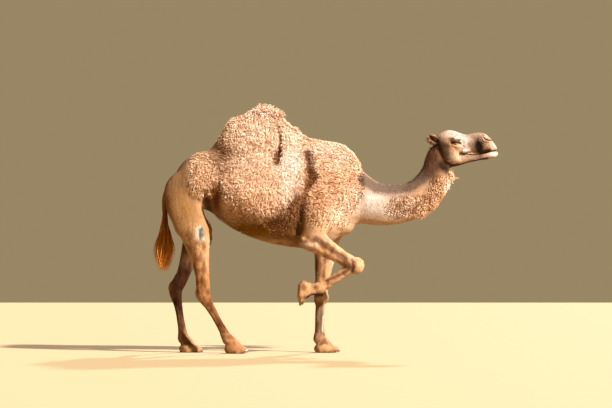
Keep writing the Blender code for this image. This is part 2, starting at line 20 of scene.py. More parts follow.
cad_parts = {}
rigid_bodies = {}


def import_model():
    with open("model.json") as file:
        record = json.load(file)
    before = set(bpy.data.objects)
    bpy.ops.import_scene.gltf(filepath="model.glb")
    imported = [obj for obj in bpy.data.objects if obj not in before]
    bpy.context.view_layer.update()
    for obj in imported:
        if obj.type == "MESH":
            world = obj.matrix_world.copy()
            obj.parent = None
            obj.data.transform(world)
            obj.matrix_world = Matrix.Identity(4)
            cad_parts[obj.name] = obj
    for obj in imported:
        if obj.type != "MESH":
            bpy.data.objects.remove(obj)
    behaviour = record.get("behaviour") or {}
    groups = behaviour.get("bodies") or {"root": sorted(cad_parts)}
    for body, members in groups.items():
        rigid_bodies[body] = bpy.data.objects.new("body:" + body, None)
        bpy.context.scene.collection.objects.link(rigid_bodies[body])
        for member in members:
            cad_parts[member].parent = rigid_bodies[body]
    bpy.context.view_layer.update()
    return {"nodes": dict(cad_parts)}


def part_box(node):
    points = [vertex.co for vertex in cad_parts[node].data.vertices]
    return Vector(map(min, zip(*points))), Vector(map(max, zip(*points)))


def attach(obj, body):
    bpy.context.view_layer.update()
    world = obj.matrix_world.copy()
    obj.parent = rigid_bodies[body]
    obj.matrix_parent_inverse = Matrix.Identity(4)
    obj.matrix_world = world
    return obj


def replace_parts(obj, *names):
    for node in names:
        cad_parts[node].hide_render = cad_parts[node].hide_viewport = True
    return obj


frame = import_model()
chance = np.random.default_rng(7)

# %% [markdown]
# ## Camera
#
# The animal is seen square from its right side, from far off and from half a metre above the ground, with
# the lens turned up a little. A long lens keeps the near and the far legs at nearly one scale. Adding the
# camera first fixes what all later pieces are judged from.

# %% Camera
CAMERA_PLACE = (-0.176, -14.0, 0.5535)
CAMERA_TILT_DEG = 92.72
LENS_MM = 100.4

bpy.ops.object.camera_add(location=CAMERA_PLACE, rotation=(math.radians(CAMERA_TILT_DEG), 0, 0))
camera = bpy.context.object
camera.name = "camera"
camera.data.lens = LENS_MM
camera.data.clip_end = 200
bpy.context.scene.camera = camera
print("camera at", CAMERA_PLACE, "lens", LENS_MM, "mm")

# %% [markdown]
# ## Small helpers
#
# Operators act on whatever is selected, so each step first says exactly which objects it means. Shapes with
# tens of thousands of points are quicker to move as arrays, so two helpers read and write all of a mesh's
# points at once. A soft ramp and a soft line are the two brushes that everything below is shaped with.

# %% Helpers for objects, points and soft brushes


def only(*objects):
    """Selects these objects and no others, and makes the first the active one."""
    bpy.ops.object.select_all(action="DESELECT")
    for thing in objects:
        thing.select_set(True)
    bpy.context.view_layer.objects.active = objects[0]


def modified(obj, kind, **settings):
    """Adds a modifier with these settings and applies it."""
    only(obj)
    modifier = obj.modifiers.new(kind.title(), kind)
    for name, value in settings.items():
        setattr(modifier, name, value)
    bpy.ops.object.modifier_apply(modifier=modifier.name)


def points_of(obj):
    flat = np.empty(len(obj.data.vertices) * 3, np.float32)
    obj.data.vertices.foreach_get("co", flat)
    return flat.reshape(-1, 3).astype(np.float64)


def move_points(obj, points):
    obj.data.vertices.foreach_set("co", points.astype(np.float32).ravel())
    obj.data.update()


def normals_of(obj):
    flat = np.empty(len(obj.data.vertices) * 3, np.float32)
    obj.data.vertex_normals.foreach_get("vector", flat)
    return flat.reshape(-1, 3).astype(np.float64)


def ramp(value, low, high):
    """Rises smoothly from 0 at low to 1 at high. Low may be the larger."""
    step = np.clip((np.asarray(value, float) - low) / (high - low), 0, 1)
    return step * step * (3 - 2 * step)


def on_side(points, side):
    """1 on the left (+1), the right (-1) or both sides (0) of the animal."""
    return np.ones(len(points)) if side == 0 else (points[:, 1] * side > 0).astype(float)


def spot(points, centre, radii, side=0):
    """A soft oval brush in the side view: 1 at its centre and 0.37 at its radii."""
    x, z = ((points[:, axis] - middle) / radius for axis, middle, radius in zip((0, 2), centre, radii))
    return np.exp(-(x * x + z * z)) * on_side(points, side)


def stroke(points, path, width, side=0):
    """A soft brush drawn along a path in the side view, this wide to either side."""
    flat = points[:, [0, 2]]
    nearest = np.full(len(points), np.inf)
    for start, end in zip(path, path[1:]):
        start, run = np.array(start), np.subtract(end, start)
        along = np.clip((flat - start) @ run / (run @ run), 0, 1)
        nearest = np.minimum(nearest, np.linalg.norm(flat - start - along[:, None] * run, axis=1))
    return np.exp(-((nearest / width) ** 2)) * on_side(points, side)


def wander(points, size, seed):
    """Smooth noise from -1 to 1 whose lumps are about this size."""
    grid = points / size
    cell = np.floor(grid).astype(np.int64)
    part = grid - cell
    part = part * part * (3 - 2 * part)
    total = np.zeros(len(points))
    for corner in np.ndindex(2, 2, 2):
        spot_id = (cell + corner) @ np.array([73856093, 19349663, 83492791]) + seed * 7919
        spot_id = (spot_id ^ (spot_id >> 13)) * 1274126177 & 0x7FFFFFFF
        value = ((spot_id ^ (spot_id >> 16)) & 0xFFFF) / 32767.5 - 1
        total += value * np.prod(np.where(corner, part, 1 - part), axis=1)
    return total


def drift(points, size, seed):
    """Smooth noise as a vector at each point, from this seed and the next two."""
    return np.stack([wander(points, size, seed + step) for step in range(3)], axis=1)


def unit(vectors):
    return vectors / np.maximum(np.linalg.norm(vectors, axis=-1, keepdims=True), 1e-9)


def flattened(vectors, normals):
    """The vectors without the part of them that runs along these normals."""
    return vectors - normals * np.sum(vectors * normals, axis=1, keepdims=True)


# %% [markdown]
# ## The lie of the coat
#
# Hair on a real animal flows: back from the nose, down the neck, over the shoulder and down each leg. A
# groomer would draw that as strokes of a comb, so it is written as one list of strokes from where a comb
# starts to where it ends. A hair takes the mean direction of the strokes near it. Strokes with a positive Y
# are used on both sides, and the legs, which differ, have their own, through the joints that the skeleton
# turns at.

# %% Comb strokes
COMB = [
    ((-0.75, 0.08, 1.85), (-0.80, 0.20, 1.60)), ((-0.50, 0.06, 1.98), (-0.52, 0.20, 1.65)),
    ((-0.34, 0.05, 1.86), (-0.40, 0.20, 1.60)), ((-0.20, 0.05, 1.75), (-0.30, 0.20, 1.45)),
    ((-0.75, 0.25, 1.50), (-0.80, 0.30, 1.20)), ((-0.50, 0.28, 1.50), (-0.54, 0.28, 1.15)),
    ((-0.27, 0.25, 1.50), (-0.31, 0.26, 1.15)), ((-0.15, 0.08, 0.96), (-0.50, 0.08, 0.98)),
    ((-0.50, 0.10, 1.00), (-0.90, 0.10, 1.10)), ((0.22, 0.08, 1.66), (-0.05, 0.16, 1.62)),
    ((0.22, 0.15, 1.50), (-0.10, 0.22, 1.42)), ((0.20, 0.20, 1.32), (-0.12, 0.24, 1.22)),
    ((0.15, 0.18, 1.16), (-0.12, 0.22, 1.02)), ((0.32, 0.05, 1.22), (0.22, 0.06, 1.02)),
    ((0.48, 0.08, 1.46), (0.42, 0.10, 1.22)), ((0.64, 0.07, 1.40), (0.60, 0.08, 1.18)),
    ((0.80, 0.06, 1.48), (0.72, 0.08, 1.26)), ((0.92, 0.06, 1.62), (0.86, 0.08, 1.40)),
    ((0.86, 0.00, 1.72), (0.68, 0.00, 1.50)), ((0.62, 0.00, 1.48), (0.30, 0.00, 1.60)),
    ((1.02, 0.00, 1.50), (0.86, 0.00, 1.26)), ((0.84, 0.00, 1.24), (0.56, 0.00, 1.10)),
    ((1.38, 0.03, 1.68), (1.20, 0.05, 1.70)), ((1.20, 0.06, 1.68), (1.00, 0.08, 1.65)),
    ((1.24, 0.02, 1.79), (1.02, 0.03, 1.84)), ((1.00, 0.04, 1.86), (0.84, 0.04, 1.80)),
    ((1.06, 0.08, 1.64), (0.94, 0.08, 1.56)), ((1.34, 0.02, 1.61), (1.00, 0.03, 1.56)),
    ((-0.82, 0.10, 1.64), (-1.08, 0.12, 1.62)), ((-1.06, 0.16, 1.58), (-1.14, 0.20, 1.36)),
    ((-1.20, 0.08, 1.56), (-1.30, 0.10, 1.34)), ((-0.98, 0.22, 1.50), (-1.00, 0.22, 1.24)),
    ((-1.26, 0.10, 1.34), (-1.20, 0.14, 1.06)), ((-1.33, 0.00, 1.24), (-1.34, 0.00, 0.90)),
]
LEG_JOINTS = {
    "foreleg_left": [(-0.02, 0.19, 1.05), (-0.003, 0.165, 0.919), (-0.06, 0.115, 0.457),
                     (-0.066, 0.085, 0.1125), (0.06, 0.078, 0.03)],
    "foreleg_right": [(-0.10, -0.2, 1.10), (-0.176, -0.175, 0.951), (0.223, -0.19, 0.711),
                      (-0.068, -0.165, 0.526), (-0.182, -0.155, 0.475), (-0.20, -0.155, 0.40)],
    "hindleg_left": [(-1.082, 0.16, 1.35), (-0.989, 0.165, 0.993), (-1.254, 0.14, 0.515),
                     (-1.187, 0.13, 0.1125), (-1.09, 0.14, 0.03)],
    "hindleg_right": [(-1.079, -0.16, 1.35), (-1.001, -0.165, 1.016), (-1.006, -0.135, 0.469),
                      (-0.808, -0.125, 0.1125), (-0.70, -0.12, 0.03)],
}


def comb_strokes():
    mirrored = [tuple((x, -y, z) for x, y, z in pair) for pair in COMB]
    legs = [pair for joints in LEG_JOINTS.values() for pair in zip(joints, joints[1:])]
    return np.array(COMB + mirrored + legs)


def lie_of(points, normals):
    """The direction that the coat lies in at each point, flat on the skin."""
    pull = np.zeros_like(points)
    for start, end in comb_strokes():
        run = end - start
        along = np.clip((points - start) @ run / (run @ run), 0, 1)
        gap = np.sum((points - start - along[:, None] * run) ** 2, axis=1)
        pull += run / np.linalg.norm(run) / (gap[:, None] + 0.0006) ** 2
    pull = unit(pull)
    return unit(flattened(pull, normals))


print("comb strokes:", len(comb_strokes()))

# %% [markdown]
# ## Where the wool grows, and how deep
#
# A dromedary keeps curly wool on hump, barrel, shoulder and hips, and short flat hair everywhere else. Each
# patch of wool is a rounded block in the side view with a soft edge. From it come the depth that the skin
# lies below the tips of the coat, and later the length and number of the locks. The parting in front of the
# hump stays nearly bare.

# %% Wool patches and coat depth
WOOL = [
    ((-0.51, 1.57), (0.350, 0.55)), ((0.015, 1.44), (0.235, 0.38)), ((-1.00, 1.45), (0.115, 0.175)),
    ((-0.87, 1.515), (0.12, 0.06)), ((0.70, 1.20), (0.20, 0.080)), ((0.93, 1.33), (0.10, 0.11)),
    ((0.24, 1.40), (0.06, 0.16)),
]
PARTING = [(-0.405, 1.86), (-0.385, 1.74), (-0.392, 1.64), (-0.402, 1.545)]
CREASE = [(-0.15, 1.56), (-0.14, 1.42), (-0.17, 1.31), (-0.20, 1.20), (-0.22, 1.10), (-0.25, 1.00)]
WOOL_DEPTH = 0.017
SHORT_DEPTH = 0.0045
FACE_DEPTH = 0.0022
HEAD_START = 0.90


def woolly(points):
    """How far a point is inside the wool, from 0 to 1."""
    most = np.zeros(len(points))
    for (x, z), (wide, high) in WOOL:
        inside = np.abs((points[:, 0] - x) / wide) ** 3 + np.abs((points[:, 2] - z) / high) ** 3
        most = np.maximum(most, ramp(inside + 0.18 * wander(points, 0.05, 3), 1.6, 0.5))
    return most


def coat_depth(points):
    flat = SHORT_DEPTH + (FACE_DEPTH - SHORT_DEPTH) * ramp(points[:, 0], HEAD_START, HEAD_START + 0.1)
    flat = np.where(points[:, 2] < 0.16, FACE_DEPTH, flat)
    return flat + (WOOL_DEPTH - flat) * woolly(points)


print("wool patches:", len(WOOL), "deepest coat", WOOL_DEPTH * 1000, "mm")

# %% [markdown]
# ## One skin over all the flesh
#
# The solids are parted by thin saw cuts, so that each can be named. A skin with no seam is made the way
# that a sculptor fuses clay: copies of the solids are swollen a little, joined, and remeshed on a fine
# grid, which closes the cuts. The eyes are put in as well, so that the lids have something to close over.
# The trunk needs few faces, because wool hides it, and the head and feet keep all of theirs. Smoothing
# takes the facets out, and the skin then sinks by the depth of the coat.

# %% Fuse the skin
FLESH = ["trunk", "hump", "neck", "head", "ear_left", "ear_right", "tail"] + [
    part + side for part in ("foreleg", "hindleg", "forefoot", "hindfoot") for side in ("_left", "_right")]
SWELL = 0.0009
SKIN_GRID = 0.0075
SKIN_SHARE_KEPT = 0.62
EARS = np.array([(0.86, side * 0.10, 1.76) for side in (-1, 1)])
EYES = ["eye_right", "eye_left"]


def solid_copy(name):
    """A free copy of a solid's mesh, its loose triangles merged, in an object of its own."""
    copy = bpy.data.objects.new(name + "_copy", frame["nodes"][name].data.copy())
    bpy.context.scene.collection.objects.link(copy)
    only(copy)
    bpy.ops.object.mode_set(mode="EDIT")
    bpy.ops.mesh.select_all(action="SELECT")
    bpy.ops.mesh.remove_doubles(threshold=0.00005)
    bpy.ops.object.mode_set(mode="OBJECT")
    return copy


def weighted(obj, name, weights):
    """Stores one weight from 0 to 1 for each point in a vertex group."""
    group = obj.vertex_groups.new(name=name)
    for level in np.unique(np.round(weights, 1)):
        if level > 0:
            group.add(np.flatnonzero(np.round(weights, 1) == level).tolist(), float(level), "REPLACE")


def fine_part(points):
    """1 on the head and the legs, where the skin keeps its small faces."""
    head = ramp(points[:, 0] - 0.35 * (points[:, 2] - 1.7), 0.90, 0.94) * (points[:, 2] > 1.50)
    ears = np.min([np.linalg.norm(points - ear, axis=1) for ear in EARS], axis=0) < 0.11
    return np.maximum.reduce([head, ears.astype(float), ramp(points[:, 2], 0.98, 0.90)])


def fused_skin():
    copies = [solid_copy(name) for name in FLESH + EYES]
    only(*copies)
    bpy.ops.object.join()
    skin = bpy.context.object
    skin.name = skin.data.name = "skin"
    skin.data.materials.clear()
    modified(skin, "DISPLACE", strength=SWELL, mid_level=0.0)
    modified(skin, "REMESH", mode="VOXEL", voxel_size=SKIN_GRID)
    weighted(skin, "plain", 1 - fine_part(points_of(skin)))
    modified(skin, "DECIMATE", ratio=SKIN_SHARE_KEPT, vertex_group="plain", vertex_group_factor=50.0)
    plain = 1 - fine_part(points_of(skin))
    skin.vertex_groups.clear()
    weighted(skin, "plain", plain)
    modified(skin, "SMOOTH", factor=0.5, iterations=12, vertex_group="plain")
    modified(skin, "SMOOTH", factor=0.5, iterations=4)
    skin.vertex_groups.clear()
    return skin


skin = fused_skin()
skin_points = points_of(skin)
move_points(skin, skin_points - normals_of(skin) * coat_depth(skin_points)[:, None])
print("skin:", len(skin.data.vertices), "points,", len(skin.data.polygons), "faces")

# %% [markdown]
# ## Sculpting the skin
#
# The forms that the solids leave out are pushed into the skin with the two soft brushes, as a sculptor
# would with a thumb and a loop tool. First come the broad ones: the parting in front of the hump, the
# crease behind the shoulder, the hollow of the flank, the tendons of the legs and the horny pads that a
# camel kneels on. Soft oval presses shape the pads, and take down the front slope of the hump. Noise gives
# the fleece its lumps.

# %% Sculpt the body


def pushed(obj, amounts):
    """Moves each point along its normal by its amount, outwards where that is positive."""
    move_points(obj, points_of(obj) + normals_of(obj) * amounts[:, None])


def facing_side(obj):
    """1 where the skin faces left or right, fading to 0 where it faces up, down, forward or back."""
    return ramp(np.abs(normals_of(obj)[:, 1]), 0.15, 0.6)


BODY_FORMS = [  # path, width, how far outwards, side
    (PARTING, 0.022, -0.015, 0), ([(-0.392, 1.66), (-0.402, 1.56)], 0.034, -0.020, 0),
    ([(-0.36, 1.88), (-0.335, 1.70), (-0.35, 1.56)], 0.035, 0.008, 0), (CREASE, 0.034, -0.022, 0),
    ([(-0.06, 1.58), (-0.07, 1.36), (-0.06, 1.12)], 0.080, 0.014, 0),
    ([(0.10, 1.60), (0.12, 1.36)], 0.08, 0.008, 0), ([(-0.215, 1.14), (-0.245, 0.98)], 0.026, -0.018, 0),
    ([(-0.86, 1.45), (-0.90, 1.34), (-0.93, 1.20)], 0.060, -0.026, 0),
    ([(-1.000, 1.30), (-0.985, 1.22), (-0.962, 1.13)], 0.024, -0.038, 0),
    ([(-1.075, 1.26), (-1.045, 1.12)], 0.035, 0.010, 0), ([(-0.72, 1.57), (-0.84, 1.60)], 0.060, -0.016, 0),
    ([(-1.03, 1.56), (-1.03, 1.38), (-1.01, 1.28)], 0.05, 0.010, 0),
    ([(-0.70, 1.30), (-0.50, 1.24), (-0.34, 1.24)], 0.09, 0.012, 0),
    ([(-0.82, 1.13), (-0.60, 1.06), (-0.36, 1.03)], 0.05, -0.014, 0),
    ([(0.24, 1.50), (0.27, 1.34), (0.24, 1.18)], 0.040, -0.007, 0),
    ([(0.40, 1.28), (0.60, 1.25), (0.78, 1.32)], 0.030, -0.005, 0),
    ([(0.86, 1.42), (0.93, 1.56)], 0.030, -0.005, 0),
]
FOLDED, FOLD_SPACING = ((0.06, 1.34), (0.15, 0.24)), 0.042
LEG_FORMS = [
    ([(-0.165, 0.93), (0.04, 0.82), (0.17, 0.76)], 0.018, -0.006, -1),
    ([(-0.06, 0.875), (0.12, 0.80)], 0.010, 0.003, -1), ([(0.13, 0.63), (-0.03, 0.545)], 0.011, -0.005, -1),
    ([(0.15, 0.665), (-0.02, 0.565)], 0.010, 0.003, -1),
    ([(-0.055, 0.40), (-0.060, 0.16)], 0.011, -0.004, 1),
    ([(-0.020, 0.86), (-0.045, 0.56)], 0.014, -0.005, 1),
    ([(-1.00, 0.86), (-1.03, 0.58)], 0.014, -0.006, -1), ([(-1.06, 0.90), (-1.06, 0.60)], 0.014, 0.004, -1),
    ([(-0.955, 0.38), (-0.850, 0.17)], 0.011, -0.005, -1),
    ([(-1.10, 0.82), (-1.19, 0.62)], 0.014, -0.006, 1),
    ([(-1.235, 0.42), (-1.200, 0.17)], 0.011, -0.005, 1),
]
PADS = [  # centre, radii, thickness, side: knees, stifles, elbow and the lifted pastern
    ((0.235, 0.70), (0.035, 0.045), 0.004, -1), ((-0.030, 0.46), (0.030, 0.045), 0.004, 1),
    ((-0.960, 1.00), (0.035, 0.055), 0.004, -1), ((-0.950, 0.98), (0.035, 0.055), 0.004, 1),
    ((-0.197, 0.921), (0.026, 0.024), 0.009, -1), ((-0.130, 0.550), (0.050, 0.024), 0.017, -1),
    ((-0.165, 0.535), (0.030, 0.035), 0.010, -1), ((-0.120, 0.455), (0.035, 0.018), -0.016, -1),
    ((-0.290, 1.890), (0.080, 0.065), -0.036, 0), ((-0.190, 1.810), (0.060, 0.045), -0.020, 0),
]

forms = BODY_FORMS + LEG_FORMS
sides = facing_side(skin)
skin_points = points_of(skin)
amounts = sum(stroke(skin_points, path, width, side) * depth * sides for path, width, depth, side in forms)
amounts += sum(spot(skin_points, centre, radii, side) * depth for centre, radii, depth, side in PADS)
on_body = ramp(skin_points[:, 2], 0.7, 1.0) * (skin_points[:, 0] < 0.9)
amounts += 0.0035 * wander(skin_points, 0.11, 5) * on_body
amounts += 0.0045 * woolly(skin_points) * wander(skin_points, 0.06, 6)
folds = np.sin(2 * np.pi * (skin_points[:, 2] + 0.020 * wander(skin_points, 0.10, 8)) / FOLD_SPACING)
amounts += 0.0040 * spot(skin_points, *FOLDED) * folds
amounts += 0.0016 * wander(skin_points, 0.024, 9) * ramp(skin_points[:, 2], 1.00, 0.88) * sides
pushed(skin, amounts)
print("strokes on the body:", len(forms), "pads:", len(PADS))

# %% [markdown]
# ## Sculpting the head
#
# The head gets the most care. Its faces are split again, so that a fold a few millimetres wide can be
# pressed in. A camel's eye lies under a heavy brow, its nostril is a slit that can shut against sand, its
# upper lip is split, and the long mouth ends in a fleshy bump. Each is a stroke on both sides of the head
# at once.

# %% Sculpt the head
EYE = np.array([1.046, 0.072, 1.720])
NOSTRIL = [(1.276, 1.766), (1.292, 1.748), (1.322, 1.738), (1.345, 1.741)]
EYE_LINE = [(1.018, 1.716), (1.036, 1.721), (1.062, 1.721), (1.090, 1.714)]
MOUTH = [(1.090, 1.634), (1.185, 1.621), (1.262, 1.629), (1.322, 1.645), (1.385, 1.657), (1.42, 1.658)]
FLARE = [(1.268, 1.730), (1.290, 1.760), (1.330, 1.755)]
LIP_SPLIT = [(1.36, 1.70), (1.41, 1.665)]
HEAD_FORMS = [  # path, width, how far outwards
    (MOUTH, 0.0042, -0.0085), ([(x, z + 0.011) for x, z in MOUTH[2:]], 0.008, 0.0035),
    ([(x, z - 0.010) for x, z in MOUTH[2:]], 0.008, 0.0025),
    ([(1.114, 1.650), (1.150, 1.656)], 0.012, 0.016), ([(1.082, 1.640), (1.078, 1.618)], 0.007, -0.005),
    (NOSTRIL, 0.0042, -0.0080), ([(1.262, 1.772), (1.280, 1.733), (1.325, 1.723)], 0.006, 0.0030),
    ([(1.292, 1.776), (1.306, 1.760), (1.335, 1.754), (1.352, 1.757)], 0.006, 0.0042),
    ([(1.305, 1.788), (1.322, 1.773), (1.350, 1.768)], 0.0045, -0.0045),
    ([(1.285, 1.796), (1.262, 1.786)], 0.0045, -0.0035),
    ([(1.262, 1.756), (1.272, 1.728), (1.300, 1.713)], 0.0055, -0.0045),
    ([(1.250, 1.744), (1.262, 1.716), (1.290, 1.700)], 0.0060, -0.0035),
    ([(1.180, 1.765), (1.215, 1.722), (1.235, 1.685)], 0.024, -0.009),
    ([(1.078, 1.752), (1.040, 1.750)], 0.014, 0.017),
    ([(1.112, 1.752), (1.128, 1.716), (1.125, 1.680)], 0.015, 0.009),
    ([(1.005, 1.712), (1.015, 1.688), (1.045, 1.672)], 0.0065, -0.004),
    ([(1.018, 1.702), (1.050, 1.690), (1.085, 1.698)], 0.0045, -0.0022),
    ([(1.000, 1.745), (0.985, 1.730)], 0.016, -0.006), ([(1.09, 1.70), (1.13, 1.672)], 0.006, -0.004),
    ([(1.10, 1.640), (1.165, 1.636)], 0.006, -0.004),
    ([(0.960, 1.655), (1.000, 1.600), (1.060, 1.585)], 0.030, 0.005),
    ([(1.080, 1.628), (1.150, 1.600), (1.240, 1.600)], 0.014, -0.004),
    ([(0.935, 1.600), (0.905, 1.665), (0.915, 1.715)], 0.016, -0.006),
]


def split_faces(obj, wanted, cuts=1):
    """Splits the faces whose middle the function wants."""
    only(obj)
    centres = np.empty(len(obj.data.polygons) * 3)
    obj.data.polygons.foreach_get("center", centres)
    chosen = wanted(centres.reshape(-1, 3))
    bpy.ops.object.mode_set(mode="EDIT")
    bpy.ops.mesh.select_all(action="DESELECT")
    bpy.ops.object.mode_set(mode="OBJECT")
    obj.data.polygons.foreach_set("select", chosen)
    bpy.ops.object.mode_set(mode="EDIT")
    bpy.ops.mesh.select_mode(type="FACE")
    bpy.ops.mesh.subdivide(number_cuts=cuts)
    bpy.ops.object.mode_set(mode="OBJECT")


def beside_eye(points):
    """How far a point is from the nearer eye."""
    return np.linalg.norm(points * (1, 0, 1) + np.abs(points) * (0, 1, 0) - EYE, axis=1)


def on_face(points):
    return (points[:, 0] > 0.975) & (points[:, 2] > 1.56)


def fine_on_face(points):
    """The lids, the mouth and the nostrils, which take the finest faces."""
    slits = np.maximum(stroke(points, MOUTH, 0.012), stroke(points, FLARE, 0.026)) > 0.35
    return (beside_eye(points) < 0.030) | ((points[:, 0] > 1.09) & slits)


split_faces(skin, on_face)
head_points = points_of(skin)
weighted(skin, "face", ((head_points[:, 0] > 0.98) & (head_points[:, 2] > 1.56)).astype(float))
modified(skin, "SMOOTH", factor=0.5, iterations=3, vertex_group="face")
split_faces(skin, lambda points: beside_eye(points) < 0.048)
split_faces(skin, fine_on_face)
skin.vertex_groups.clear()
head_points = points_of(skin)
on_head = ramp(head_points[:, 0], 0.86, 0.90) * ramp(head_points[:, 2], 1.50, 1.54)
sides = ramp(np.abs(normals_of(skin)[:, 1]), 0.05, 0.45) * on_head
pushed(skin, sum(stroke(head_points, path, width) * depth for path, width, depth in HEAD_FORMS) * sides)
at_middle = np.exp(-(head_points[:, 1] / 0.004) ** 2)
lip_split = stroke(head_points, LIP_SPLIT, 0.03) * at_middle
pushed(skin, -0.006 * lip_split)
print("strokes on the head:", len(HEAD_FORMS), "points now", len(skin.data.vertices))

# %% [markdown]
# ## Ears
#
# A camel's ear is a short furry cup that it can turn. Its outside came from the solids, and its inside is
# hollowed here: in the ear's own directions, the points of its open face sink to the back wall, most in the
# middle.

# %% Hollow the ears
EAR_MIDDLE = np.array([0.873, 0.090, 1.745])
EAR_ALONG = np.array([-0.76, 0.33, 0.56])
EAR_FACING = np.array([-0.25, 0.90, -0.30])
EAR_OPENING = (0.026, 0.050)
EAR_DEPTH = 0.028


def ear_axes(side):
    """Across the ear, along it to its tip, and out of its open face."""
    along = unit(EAR_ALONG * (1, side, 1))
    facing = unit(EAR_FACING * (1, side, 1) - along * ((EAR_FACING * (1, side, 1)) @ along))
    return np.array([np.cross(along, facing), along, facing])


def in_ear(points, side):
    """Places in the ear's own directions, and how far inside the rim of its opening each is, up to 1."""
    local = (points - EAR_MIDDLE * (1, side, 1)) @ ear_axes(side).T
    rim = 1 - (local[:, 0] / EAR_OPENING[0]) ** 2 - ((local[:, 1] - 0.004) / EAR_OPENING[1]) ** 2
    return local, np.clip(rim, 0, 1)


split_faces(skin, lambda points: np.min([np.linalg.norm(points - EAR_MIDDLE * (1, side, 1), axis=1)
                                         for side in (-1, 1)], axis=0) < 0.075)
for side in (-1, 1):
    ear_points = points_of(skin)
    local, rim = in_ear(ear_points, side)
    front = (normals_of(skin) @ ear_axes(side)[2] > 0.1) & (np.abs(local[:, 2]) < 0.05)
    sink = np.where(front, EAR_DEPTH * np.sqrt(rim), 0)
    move_points(skin, ear_points - ear_axes(side)[2] * sink[:, None])
print("ears hollowed", EAR_DEPTH * 1000, "mm deep, points now", len(skin.data.vertices))

# %% [markdown]
# ## Eyelids
#
# An eye lies as deep as its ball: the lids are skin drawn over the ball with a slit between them. In the
# eye's own directions, which run along the slit, up and outwards, each point over the ball is lifted to a
# dome a lid's thickness above it. Points inside the slit drop behind the ball's face, and those at its edge
# are moved exactly onto it, so the lids end in a clean rim. The upper lid is thick and hangs low. All the
# splitting has made the skin heavy, so at the end its faces are thinned again, but not those of the head.

# %% Eyelids
EYE_RADIUS = 0.021
EYE_OUT = np.array([0.22, 0.96, 0.10])
SLIT_HALF = 0.0225
SLIT_UP, SLIT_DOWN = 0.0032, 0.0050
LID_UP, LID_DOWN = 0.0046, 0.0030
LID_REACH = 0.033
SKIN_TRIANGLES = 190000


def eye_axes(side):
    """Along the slit towards the nose, up, and outwards."""
    outward = unit(EYE_OUT * (1, side, 1))
    along = unit(np.array([1.0, 0, -0.16]) - outward * (outward @ np.array([1.0, 0, -0.16])))
    upward = np.cross(outward, along) * -side
    return np.array([along, upward * np.sign(upward[2]), outward])


def close_lids(obj, side):
    points = points_of(obj)
    axes = eye_axes(side)
    centre = EYE * (1, side, 1)
    local = (points - centre) @ axes.T
    across, up, out = local.T
    reach = np.hypot(across, up)
    near = (reach < LID_REACH) & (out > -0.005) & (np.linalg.norm(local, axis=1) < 0.05)
    opening = np.clip(1 - (across / SLIT_HALF) ** 2, 0, None)
    edge = np.where(up > 0, SLIT_UP, -SLIT_DOWN) * opening
    inside = (np.abs(up) < np.abs(edge)) & near
    at_edge = near & (np.abs(up - edge) < 0.0013) & (np.abs(across) < SLIT_HALF)
    up = np.where(at_edge, edge, up)
    thick = np.where(up > 0, LID_UP, LID_DOWN)
    dome = np.sqrt(np.clip((EYE_RADIUS + thick) ** 2 - across**2 - up**2, 0, None))
    behind = np.sqrt(np.clip((EYE_RADIUS - 0.004) ** 2 - across**2 - up**2, 0, None))
    lifted = np.maximum(out, dome)
    fade = ramp(reach, LID_REACH, EYE_RADIUS)
    out = np.where(near & ~inside, out + (lifted - out) * fade, out)
    out = np.where(at_edge, np.sqrt(np.clip((EYE_RADIUS + 0.0006) ** 2 - across**2 - up**2, 0, None)), out)
    out = np.where(inside & ~at_edge, np.minimum(out, behind), out)
    moved = np.stack([across, up, out], axis=1) @ axes + centre
    move_points(obj, np.where(near[:, None], moved, points))


def triangles_of(obj):
    return sum(len(face.vertices) - 2 for face in obj.data.polygons)


for side in (-1, 1):
    close_lids(skin, side)
sculpted = triangles_of(skin)
skin_points = points_of(skin)
weighted(skin, "plain", 1 - ramp(skin_points[:, 0], 0.90, 0.94) * (skin_points[:, 2] > 1.50))
modified(skin, "DECIMATE", ratio=SKIN_TRIANGLES / sculpted, vertex_group="plain", vertex_group_factor=50.0)
skin.vertex_groups.clear()
print("skin triangles:", sculpted, "thinned to", triangles_of(skin))
